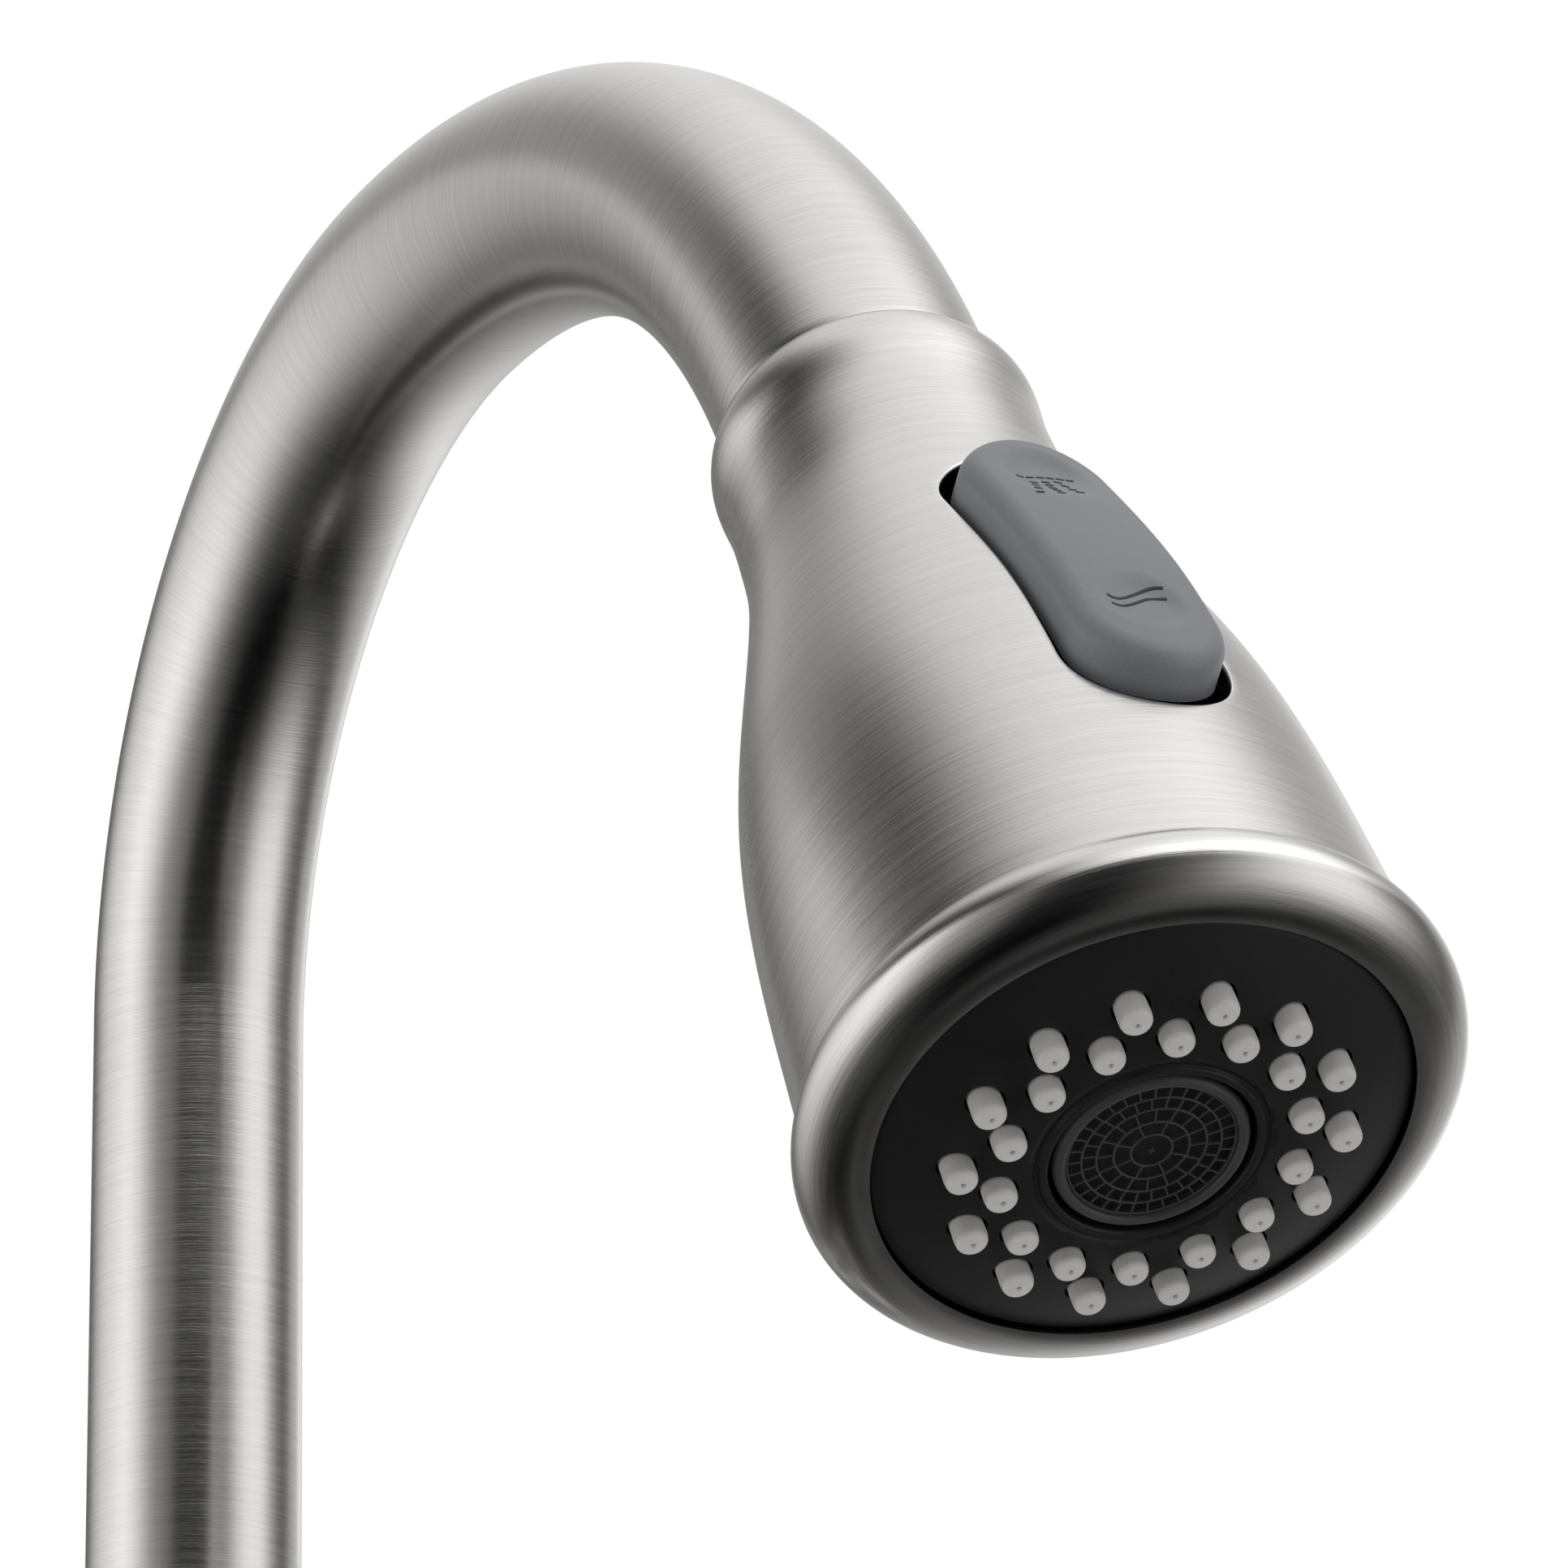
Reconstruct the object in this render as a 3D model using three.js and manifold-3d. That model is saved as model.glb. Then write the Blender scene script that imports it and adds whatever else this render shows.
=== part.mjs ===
// Pull-down kitchen faucet. A gooseneck spout swivels on a deck-mounted body, a bell-shaped
// spray head docks in the end of the spout on a pull-out hose, a rocker on the head picks the
// spray, and a side lever works a ceramic cartridge.
// Millimetres, +Z up. The origin is the centre of the deck hole, on the deck.
// The spout reaches toward -Y and the lever stands on the +X side.
import * as THREE from "three";
import { mergeVertices } from "three/addons/utils/BufferGeometryUtils.js";
import Module from "manifold-3d";

const wasm = await Module();
wasm.setup();

// ---- Driving dimensions ----
const GAP = 0.3;
const TURN = Math.PI / 180;

// Gooseneck tube: a riser, a bend that is tighter up to its crown and wider after it, and a
// short straight tail. The tube widens round the bend.
const TUBE_R = 12;
const TUBE_WALL = 1.6;
const TUBE_FLARE = 1.5;
const TUBE_FOOT = 114;
const ARC_Z = 300;
const RISING_R = 65.7;
const FALLING_R = 111.9;
const ARC_END = 152.3 * TURN;
const TAIL = 1.5;

// Spray head, measured down its own axis from the seam with the tube.
const HEAD_LEN = 96;
const SEAM = 0.6;
const WALL = 2;
const LIP_R = 23.9;
const RIM_R = 29.4;
const HEAD_SPIN = -5 * TURN;
const FACE_DEPTH = 0.6;
const FACE_BULGE = 3;
const NOZZLES = 14;
const NOZZLE_RINGS = [[16.75, 0.47], [13.3, 0.02]];
const NOZZLE_R = 1.35;
const NOZZLE_OUT = 4.2;
const OUTLET_R = 8.6;

// Rocker button on the front of the head.
const ROCKER_S = 50.4;
const ROCKER_HALF = 21;
const ROCKER_W = 7.1;
const ROCKER_PROUD = 3.2;
const ROCKER_LEAN = 13.5 * TURN;
const ROCKER_PIVOT_Y = 17;

// Body, deck hardware and cartridge.
const BODY_R = 20.5;
const BODY_TOP = 150;
const BORE_R = 16;
const SWIVEL_R = 13.5;
const DECK_T = 20;
const SHANK_R = 16.4;
const SHANK_END = -62;
const HOSE_R = 6;
const HOSE_END = -84;
const VALVE_Z = 70;
const BOSS_R = 20.3;
const BOSS_END = 40;
const CAVITY_R = 17.6;
const PIVOT = 33;
const CAP_R = 21.4;
const HUB_R = 22;
const HUB_WALL = 5;
const HUB_TAPER = 2.4;
const STEM_END = 58.6;
const LEVER_LEN = 98;

// ---- Finishes ----
function finish(color, roughness, metalness) {
  return new THREE.MeshStandardMaterial({ color, roughness, metalness });
}
const nickel = finish(0xb4b0a8, 0.34, 1);
const brass = finish(0xb08d4e, 0.4, 1);
const steel = finish(0xa9acae, 0.3, 1);
const copper = finish(0xb5703f, 0.35, 1);
const blackPlastic = finish(0x141415, 0.5, 0);
const slatePlastic = finish(0x4a4d52, 0.6, 0);
const whitePlastic = finish(0xd9d8d2, 0.5, 0);
const silicone = finish(0xb9b7b2, 0.65, 0);
const rubber = finish(0x1c1c1d, 0.85, 0);
const ceramic = finish(0xe8e4da, 0.25, 0);
const braid = finish(0x3a3b3d, 0.6, 0.2);
const blueRed = finish(0x8f2f36, 0.4, 0);

// ---- Shape helpers ----
// A closed three.js geometry as a solid that can be joined and cut.
function solid(geometry) {
  const bare = geometry.index ? geometry.toNonIndexed() : geometry.clone();
  bare.deleteAttribute("normal");
  bare.deleteAttribute("uv");
  const merged = mergeVertices(bare, 1e-3);
  const place = merged.attributes.position;
  const triVerts = [];
  const corner = [new THREE.Vector3(), new THREE.Vector3(), new THREE.Vector3()];
  let volume = 0;
  for (let i = 0; i < merged.index.count; i += 3) {
    const ids = [0, 1, 2].map((k) => merged.index.getX(i + k));
    if (new Set(ids).size < 3) continue;
    ids.forEach((id, k) => corner[k].fromBufferAttribute(place, id));
    volume += corner[0].dot(corner[1].clone().cross(corner[2]));
    triVerts.push(...ids);
  }
  if (volume < 0) triVerts.reverse();
  return new wasm.Manifold(new wasm.Mesh({
    numProp: 3,
    vertProperties: new Float32Array(place.array),
    triVerts: new Uint32Array(triVerts),
  }));
}

// A solid as a geometry again.
function geometryOf(body) {
  const mesh = body.getMesh();
  const geometry = new THREE.BufferGeometry();
  geometry.setAttribute("position", new THREE.BufferAttribute(mesh.vertProperties, 3));
  geometry.setIndex(new THREE.BufferAttribute(mesh.triVerts, 1));
  geometry.computeVertexNormals();
  return geometry;
}

// A profile of [radius, height] points turned about the Z axis.
function turned(profile, sides = 20) {
  const points = profile.map(([r, z]) => new THREE.Vector2(r, z));
  return solid(new THREE.LatheGeometry(points, sides).rotateX(Math.PI / 2));
}

function rod(r, low, high, sides = 16) {
  return turned([[0, low], [r, low], [r, high], [0, high]], sides);
}

function ring(outer, inner, low, high, sides = 20) {
  return turned([[inner, low], [outer, low], [outer, high], [inner, high], [inner, low]], sides);
}

// A ring of round section, such as an O-ring.
function roundRing(radius, section, height, sides = 20) {
  const profile = bend(radius, height, section, 0, 360, 6);
  profile[profile.length - 1] = profile[0];
  return turned(profile, sides);
}

function box(x, y, z, at) {
  return solid(new THREE.BoxGeometry(x, y, z).translate(...at));
}

// Points along a circular bend, from one angle to another, in degrees.
function bend(cx, cy, r, from, to, steps) {
  return Array.from({ length: steps + 1 }, (_, i) => {
    const a = (from + ((to - from) * i) / steps) * TURN;
    return [cx + r * Math.cos(a), cy + r * Math.sin(a)];
  });
}

// A flat outline of [x, y] points pushed along Z.
function pushed(outline, low, high) {
  const shape = new THREE.Shape(outline.map(([x, y]) => new THREE.Vector2(x, y)));
  const depth = high - low;
  return solid(new THREE.ExtrudeGeometry(shape, { depth, bevelEnabled: false }).translate(0, 0, low));
}

// A slot outline with round ends: half length along Y, half width along X.
function slotOutline(halfLength, halfWidth) {
  const reach = halfLength - halfWidth;
  return [...bend(0, reach, halfWidth, 0, 180, 8), ...bend(0, -reach, halfWidth, 180, 360, 8)];
}

// A slot-shaped prism that leaves the head's front square to the bell there, from the
// rocker's pin outward.
function frontPrism(halfLength, halfWidth) {
  const prism = pushed(slotOutline(halfLength, halfWidth), 0, 20).rotate([90 - ROCKER_LEAN / TURN, 0, 0]);
  return prism.translate([0, -ROCKER_PIVOT_Y, -ROCKER_S]);
}

function alongX(body) {
  return body.rotate([0, 90, 0]);
}

const faucet = new THREE.Group();

function add(group, name, body, material) {
  const mesh = new THREE.Mesh(geometryOf(body), material);
  mesh.name = name;
  group.add(mesh);
}

// ---- The gooseneck's centre line ----
// The bend turns in the YZ plane from straight up to ARC_END past it.
function arcPoint(angle) {
  const crown = ARC_Z + RISING_R;
  const r = angle > Math.PI / 2 ? FALLING_R : RISING_R;
  const y = r * Math.cos(angle) - RISING_R;
  return new THREE.Vector3(0, y, crown + r * (Math.sin(angle) - 1));
}

function arcHeading(angle) {
  return new THREE.Vector3(0, -Math.sin(angle), Math.cos(angle));
}

const FALLING_LEN = FALLING_R * (ARC_END - Math.PI / 2);
const ARC_LEN = FALLING_LEN + (RISING_R * Math.PI) / 2;
const seamPoint = arcPoint(ARC_END).addScaledVector(arcHeading(ARC_END), TAIL);

// The centre line by distance back from the seam, with an optional sideways step toward the
// outside of the bend.
function backFromSeam(distance, step = 0) {
  const along = distance - TAIL;
  const falling = ARC_END - along / FALLING_R;
  const rising = Math.PI / 2 - (along - FALLING_LEN) / RISING_R;
  const angle = THREE.MathUtils.clamp(along < FALLING_LEN ? falling : rising, 0, ARC_END);
  const heading = arcHeading(angle);
  const outward = new THREE.Vector3(0, heading.z, -heading.y);
  const point = arcPoint(angle);
  if (along > ARC_LEN) point.z -= along - ARC_LEN;
  return point.addScaledVector(outward, step);
}

// The tube's own line has one step for each straight stretch and even steps round the bend.
class TubeLine extends THREE.Curve {
  constructor(steps) {
    super();
    this.steps = steps;
  }

  getPoint(t) {
    const step = t * this.steps;
    const arcSteps = this.steps - 2;
    if (step <= 1) return new THREE.Vector3(0, 0, THREE.MathUtils.lerp(TUBE_FOOT, ARC_Z, step));
    if (step <= arcSteps + 1) return arcPoint(((step - 1) / arcSteps) * ARC_END);
    return arcPoint(ARC_END).addScaledVector(arcHeading(ARC_END), (step - arcSteps - 1) * TAIL);
  }

  getPointAt(t) {
    return this.getPoint(t);
  }

  getTangentAt(t) {
    const angle = THREE.MathUtils.clamp((t * this.steps - 1) / (this.steps - 2), 0, 1) * ARC_END;
    return arcHeading(angle);
  }
}

// The hose leaves its ferrule straight, then eases back to the tube's centre line.
const STEM = 28;
class HoseLine extends THREE.Curve {
  getPoint(t) {
    const last = TAIL + ARC_LEN + ARC_Z - HOSE_END;
    const distance = STEM + GAP + t * (last - STEM - GAP);
    const start = ((STEM - TAIL) ** 2) / (2 * FALLING_R);
    const slope = (STEM - TAIL) / FALLING_R;
    const ease = 60;
    const u = Math.min((distance - STEM) / ease, 1);
    const step = start * (2 * u ** 3 - 3 * u ** 2 + 1) + slope * ease * (u ** 3 - 2 * u ** 2 + u);
    return backFromSeam(distance, step);
  }
}

function circleShape(r, sides) {
  const outline = Array.from({ length: sides }, (_, i) => {
    const a = (i / sides) * 2 * Math.PI;
    return new THREE.Vector2(r * Math.cos(a), r * Math.sin(a));
  });
  return new THREE.Shape(outline);
}

// The tube widens evenly round the bend, by TUBE_FLARE in all.
function flared(geometry) {
  const place = geometry.attributes.position;
  const point = new THREE.Vector3();
  for (let i = 0; i < place.count; i += 1) {
    point.fromBufferAttribute(place, i);
    const falling = point.y < -RISING_R;
    const centreZ = falling ? ARC_Z + RISING_R - FALLING_R : ARC_Z;
    const raw = Math.atan2(point.z - centreZ, point.y + RISING_R);
    const angle = THREE.MathUtils.clamp(raw, 0, ARC_END);
    const heading = arcHeading(angle);
    const foot = arcPoint(angle);
    foot.addScaledVector(heading, point.clone().sub(foot).dot(heading));
    const widen = 1 + (TUBE_FLARE * angle) / (ARC_END * TUBE_R);
    point.sub(foot).multiplyScalar(widen).add(foot);
    place.setXYZ(i, point.x, point.y, point.z);
  }
  return geometry;
}

// ---- Deck hardware and body ----
function addBody(group) {
  add(group, "deck_gasket", ring(25.5, 18.2, 0, 1.2), rubber);
  const flange = turned([
    [17.3, 1.5], [27, 1.5], [27, 4.4], [25.8, 6.2], [22.6, 7.2], [22.6, 9.2], [17.3, 9.2], [17.3, 1.5],
  ], 28);
  add(group, "deck_flange", flange, nickel);

  const column = turned([
    [SWIVEL_R, 9.5], [21.8, 9.5], [21.8, 12.5], [BODY_R, 14.5], [BODY_R, 104], [BODY_R - 0.7, 106],
    [BODY_R, 108], [19.6, 128], [18.8, BODY_TOP - 3], [17.8, BODY_TOP], [SWIVEL_R, BODY_TOP],
    [SWIVEL_R, 9.5],
  ], 28);
  const boss = alongX(rod(BOSS_R, 0, BOSS_END, 24)).translate([0, 0, VALVE_Z]);
  const cavity = alongX(rod(CAVITY_R, 13.9, BOSS_END + 1, 24)).translate([0, 0, VALVE_Z]);
  const hollow = rod(BORE_R, 9, 112, 28);
  const screwHole = rod(2.1, 10, 30, 12).rotate([-90, 0, 0]).translate([0, 0, 127]);
  const cast = column.add(boss).subtract(hollow).subtract(cavity).subtract(screwHole);
  add(group, "body_column", cast, nickel);
  const grub = rod(1.8, SWIVEL_R + 0.2, 18.8, 10).rotate([-90, 0, 0]).translate([0, 0, 127]);
  add(group, "spout_screw", grub, steel);

  const shank = turned([
    [14, SHANK_END], [SHANK_R, SHANK_END], [SHANK_R, 9], [15.6, 9], [15.6, 21.8], [14, 21.8],
    [14, SHANK_END],
  ]);
  add(group, "mounting_shank", shank, brass);
  add(group, "rubber_washer", ring(25, 17, -DECK_T - 3, -DECK_T), rubber);
  add(group, "steel_washer", ring(24, 17, -DECK_T - 4.8, -DECK_T - 3.3), steel);
  addMountingNut(group, -DECK_T - 5.1);
  addManifold(group);
}

// A round nut with four wings, and two screws that press its washer up.
function addMountingNut(group, top) {
  const low = top - 13;
  let nut = ring(22, 17, low, top, 20);
  for (let i = 0; i < 4; i += 1) {
    nut = nut.add(box(10, 5, 13, [25, 0, top - 6.5]).rotate([0, 0, 45 + 90 * i]));
  }
  const sides = [-1, 1];
  for (const side of sides) {
    nut = nut.subtract(rod(1.8, low - 1, top + 1, 10).translate([0, side * 19.6, 0]));
  }
  add(group, "mounting_nut", nut, blackPlastic);
  sides.forEach((side, i) => {
    const screw = turned([
      [0, low - 3.2], [2.6, low - 3.2], [2.6, low - GAP], [1.4, low - GAP], [1.4, top], [0, top],
    ], 10);
    add(group, `nut_screw_${i + 1}`, screw.translate([0, side * 19.6, 0]), steel);
  });
}

// The water passages stand in the bore beside the hose and feed the cartridge's base.
function addManifold(group) {
  const top = 92;
  const passages = [[-7.35, 7.35], [7.35, 7.35], [0, 10.4]];
  let block = ring(15.4, 7.4, 22.2, 34);
  const crescent = rod(15.4, 34, top, 20).intersect(box(12, 32, 60, [9.4, 0, 63]));
  block = block.add(crescent.subtract(rod(7.4, 30, 100, 20)));
  const reach = [VALVE_Z - 5, VALVE_Z - 5, VALVE_Z + 6];
  passages.forEach(([y, x], i) => {
    block = block.subtract(rod(2, 20, reach[i] + 2, 10).translate([x, y, 0]));
    block = block.subtract(alongX(rod(2, x, 18, 10)).translate([0, y, reach[i]]));
  });
  block = block.intersect(box(30, 40, 200, [-1.4, 0, 60]));
  add(group, "valve_manifold", block, brass);

  const stubs = ["cold_inlet", "hot_inlet", "mixed_outlet"];
  stubs.forEach((name, i) => {
    const [y, x] = passages[i];
    const end = SHANK_END - 6 - 5 * i;
    const pipe = ring(1.7, 1.1, end, 40, 10).add(ring(2.8, 1.1, end, 21, 12));
    add(group, name, pipe.translate([x, y, 0]), i === 2 ? steel : copper);
  });
}

// ---- Cartridge and lever, on an axis that runs out to +X ----
// In this group Z runs out along the valve's axis and -X points up.
function sphereCap(r, fromAngle, toAngle, steps) {
  return bend(0, 0, r, 90 - fromAngle, 90 - toAngle, steps).map(([x, z]) => [x, z + PIVOT]);
}

function addCartridge(group) {
  add(group, "cartridge_seal", ring(15.4, 12.6, 14.2, 15.3), rubber);
  const ports = [[-5, -7.35], [-5, 7.35], [6, 0]];
  const bored = (body, r) => ports.reduce(
    (left, [x, y]) => left.subtract(rod(r, 10, 30, 12).translate([-x, y, 0])), body);
  const housing = turned([
    [0, 15.6], [17.2, 15.6], [17.2, 34], [15.1, 34], [15.1, 18], [0, 18],
  ]);
  add(group, "cartridge_housing", bored(housing, 2.2), blackPlastic);
  add(group, "fixed_disc", bored(rod(14.7, 18.3, 21.2, 20), 2.2), ceramic);
  add(group, "retaining_nut", ring(17.3, 15.2, 34.4, 39.4), brass);
  const cap = turned([
    ...sphereCap(CAP_R, 70, 37, 4), ...sphereCap(CAP_R - 2, 37, 68, 4), [17.9, 40.3],
    sphereCap(CAP_R, 70, 37, 4)[0],
  ], 24);
  add(group, "valve_cap", cap, nickel);
}

function addMixer(group) {
  const slot = box(14.4, 8.8, 20, [0, 0, PIVOT]);
  const pinHole = rod(1.8, -20, 20, 12).rotate([90, 0, 0]).translate([0, 0, PIVOT]);
  const carrier = rod(14.7, 27.4, 38.6, 20).subtract(slot).subtract(pinHole);
  add(group, "cartridge_carrier", carrier, whitePlastic);
}

function addLever(group) {
  const pin = rod(1.5, -13, 13, 12).rotate([90, 0, 0]).translate([0, 0, PIVOT]);
  add(group, "stem_pin", pin, steel);
  const bore = rod(1.8, -10, 10, 12).rotate([90, 0, 0]).translate([0, 0, PIVOT]);
  const stem = turned([
    [0, 24.2], [1.6, 24.2], [3, 25.4], [2.6, 27], [3.9, 28.5], [3.9, STEM_END], [0, STEM_END],
  ], 16).subtract(bore);
  add(group, "lever_stem", stem, steel);

  const skirtAngle = 62;
  const crown = [62, 50, 38, 26, 13, 0].map((a) => {
    const r = HUB_R + HUB_WALL - (HUB_TAPER * a) / skirtAngle;
    return [r * Math.sin(a * TURN), PIVOT + r * Math.cos(a * TURN)];
  });
  const dome = turned([
    ...crown, [0, PIVOT + HUB_R], ...sphereCap(HUB_R, 12, skirtAngle, 5), crown[0],
  ], 24);
  const side = [
    [-14, 46], [-14, 56.5], [-40, 57.5], [-LEVER_LEN, 66], [-LEVER_LEN - 2, 64], [-LEVER_LEN - 1.4, 61],
    [-44, 50], [-20, 49.4],
  ];
  const front = [
    ...bend(-LEVER_LEN + 7, 0, 9.5, 90, 270, 8), [-45, -6.5], [-14, -8.5], [-14, 8.5], [-45, 6.5],
  ];
  const blade = pushed(side.map(([x, z]) => [x, z]), -12, 12).rotate([90, 0, 0]);
  const arm = blade.intersect(pushed(front, 40, 70)).subtract(solidSphere(HUB_R + 1.5));
  const stemHole = rod(4.2, 30, STEM_END + GAP, 16);
  const screwZ = 56.6;
  const screwHole = rod(1.4, 0, 40, 10).rotate([0, 90, 0]).translate([0, 0, screwZ]);
  const badgeHole = rod(3.8, STEM_END, 62, 16);
  const handle = dome.add(arm).subtract(stemHole).subtract(screwHole).subtract(badgeHole);
  add(group, "lever_handle", handle, nickel);
  const grub = rod(1.1, 4.2, 11, 10).rotate([0, 90, 0]).translate([0, 0, screwZ]);
  add(group, "handle_screw", grub, steel);
  add(group, "index_button", rod(3.5, STEM_END + 2 * GAP, STEM_END + 1.5, 16), blueRed);
}

function solidSphere(r) {
  return solid(new THREE.SphereGeometry(r, 20, 12).translate(0, 0, PIVOT));
}

function addMovingDisc(group) {
  const disc = rod(11, 21.5, 26.9, 20).subtract(rod(4.4, 23.4, 28, 16));
  add(group, "moving_disc", disc, ceramic);
}

// ---- Spout, riding on the body's swivel ----
function addSpout(group) {
  const shape = circleShape(TUBE_R, 20);
  shape.holes.push(circleShape(TUBE_R - TUBE_WALL, 20));
  const steps = 26;
  const extrudePath = new TubeLine(steps);
  const tube = flared(new THREE.ExtrudeGeometry(shape, { steps, bevelEnabled: false, extrudePath }));
  add(group, "spout_tube", solid(tube), nickel);
  const collar = turned([
    [TUBE_R + GAP, BODY_TOP + 0.6], [17.6, BODY_TOP + 0.6], [18, BODY_TOP + 2], [17.4, BODY_TOP + 4],
    [15.6, BODY_TOP + 6], [15, BODY_TOP + 9], [14, BODY_TOP + 10], [TUBE_R + GAP, BODY_TOP + 10],
    [TUBE_R + GAP, BODY_TOP + 0.6],
  ], 24);
  add(group, "spout_collar", collar, nickel);
  const bushes = { lower_bush: 115.5, upper_bush: 141 };
  for (const [name, low] of Object.entries(bushes)) {
    add(group, name, ring(SWIVEL_R - 0.3, TUBE_R + 0.25, low, low + 6), whitePlastic);
  }
  const seals = { lower_o_ring: 133, upper_o_ring: 137 };
  for (const [name, height] of Object.entries(seals)) {
    add(group, name, roundRing(TUBE_R + 0.75, 0.45, height), rubber);
  }
  const hose = new THREE.ExtrudeGeometry(circleShape(HOSE_R, 8), {
    steps: 36, bevelEnabled: false, extrudePath: new HoseLine(),
  });
  add(group, "pull_hose", solid(hose), braid);
  const coupler = turned([
    [0, HOSE_END - 22], [2.6, HOSE_END - 22], [2.6, HOSE_END - 16], [6.6, HOSE_END - 15],
    [6.6, HOSE_END - GAP], [0, HOSE_END - GAP],
  ], 16);
  add(group, "hose_coupler", coupler, steel);
}

// ---- Spray head ----
// Z is 0 at the seam and falls toward the face. The rocker is on the -Y side.
function addDock(group) {
  add(group, "dock_sleeve", ring(10.9, 10.1, 0.8, 11), blackPlastic);
}

function addHoseEnd(group) {
  const nut = turned([
    [7.9, -12], [9.4, -12], [9.4, 6], [8, 12], [5.4, 12], [5.4, 4], [7.9, 4], [7.9, -12],
  ], 20);
  add(group, "hose_nut", nut, whitePlastic);
  const ferrule = turned([
    [3, 4.3], [5.1, 4.3], [5.1, 12.3], [7.1, 12.3], [7.1, STEM - 1], [6.4, STEM], [3, STEM], [3, 4.3],
  ], 20);
  add(group, "hose_ferrule", ferrule, steel);
  add(group, "hose_washer", ring(7.2, 3.4, 2.8, 3.8, 20), rubber);
}

// The bell's outer radius at a distance down from the seam: a collar, a waist and a flare that
// ends at the crease above the rim.
const CREASE_S = 88;
const bell = new THREE.SplineCurve([
  [0, 14.2], [2.5, 15.5], [8, 15.7], [14, 15.75], [20, 16.2], [27, 17.7], [35, 20], [44, 22.6],
  [53, 24.7], [62, 26], [72, 26.8], [80, 27.2], [CREASE_S, 27.6],
].map(([s, r]) => new THREE.Vector2(s, r)));

function bellOutline(inset, steps) {
  return bell.getPoints(steps).map((p) => [p.x, p.y - inset]);
}

function addShell(group) {
  const bellSteps = 14;
  const outer = bellOutline(0, bellSteps).filter(([s]) => s > SEAM).map(([s, r]) => [r, -s]);
  const rim = bend(0, 0, 1, 56, -94, 8).map(([x, y]) => [RIM_R - 5.3 + 5.3 * x, 4.1 * (y + 1) - HEAD_LEN]);
  const inner = bellOutline(WALL, 9).filter(([s]) => s > SEAM).map(([s, r]) => [r, -s]).reverse();
  const shell = turned([
    [14.3, -SEAM], ...outer, ...rim, [LIP_R, -HEAD_LEN], [LIP_R, -HEAD_LEN + 4.2],
    ...inner, [14.3 - WALL, -SEAM], [14.3, -SEAM],
  ], 32);
  add(group, "head_shell", shell.subtract(frontPrism(ROCKER_HALF + 1.8, ROCKER_W + 0.6)), nickel);
}

function addWaterway(group) {
  const flat = box(30, 10, 42.4, [0, -13.4, -41]);
  const core = turned([
    [0, -62], [11, -62], [11, -20], [9.6, -18], [9.6, -12.6], [7.5, -12.6], [7.5, 2.4], [0, 2.4],
  ], 20);
  const inlet = rod(4.6, -26, 3, 16);
  const drain = rod(2.6, -63, -25, 12).translate([0, 3.5, 0]);
  const spoolBore = rod(2.7, -ROCKER_S - 11.3, -ROCKER_S + 12, 12).translate([0, -5.2, 0]);
  const window = box(3.4, 8, 9, [0, -8.4, -ROCKER_S]);
  const cut = [flat, inlet, drain, spoolBore, window].reduce((body, tool) => body.subtract(tool), core);
  add(group, "waterway_core", cut, blackPlastic);
  add(group, "inlet_screen", ring(4.3, 0.9, 1, 2, 16), steel);
  const valve = turned([
    [1.6, -18], [4.3, -18], [4.3, -6], [2.2, -6], [2.2, -8], [3.4, -8.6], [3.4, -16], [1.6, -16],
    [1.6, -18],
  ], 16);
  add(group, "check_valve", valve, whitePlastic);
  add(group, "check_spring", springSolid(2.5, 0.3, -15.6, -10.6, 3), steel);
}

// A round-wire coil spring between two heights.
function springSolid(radius, wire, low, high, turns) {
  class Helix extends THREE.Curve {
    getPoint(t) {
      const a = t * turns * 2 * Math.PI;
      const rise = low + wire + (high - low - 2 * wire) * t;
      return new THREE.Vector3(radius * Math.cos(a), radius * Math.sin(a), rise);
    }
  }
  const options = { steps: turns * 8, bevelEnabled: false, extrudePath: new Helix() };
  return solid(new THREE.ExtrudeGeometry(circleShape(wire, 4), options));
}

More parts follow.
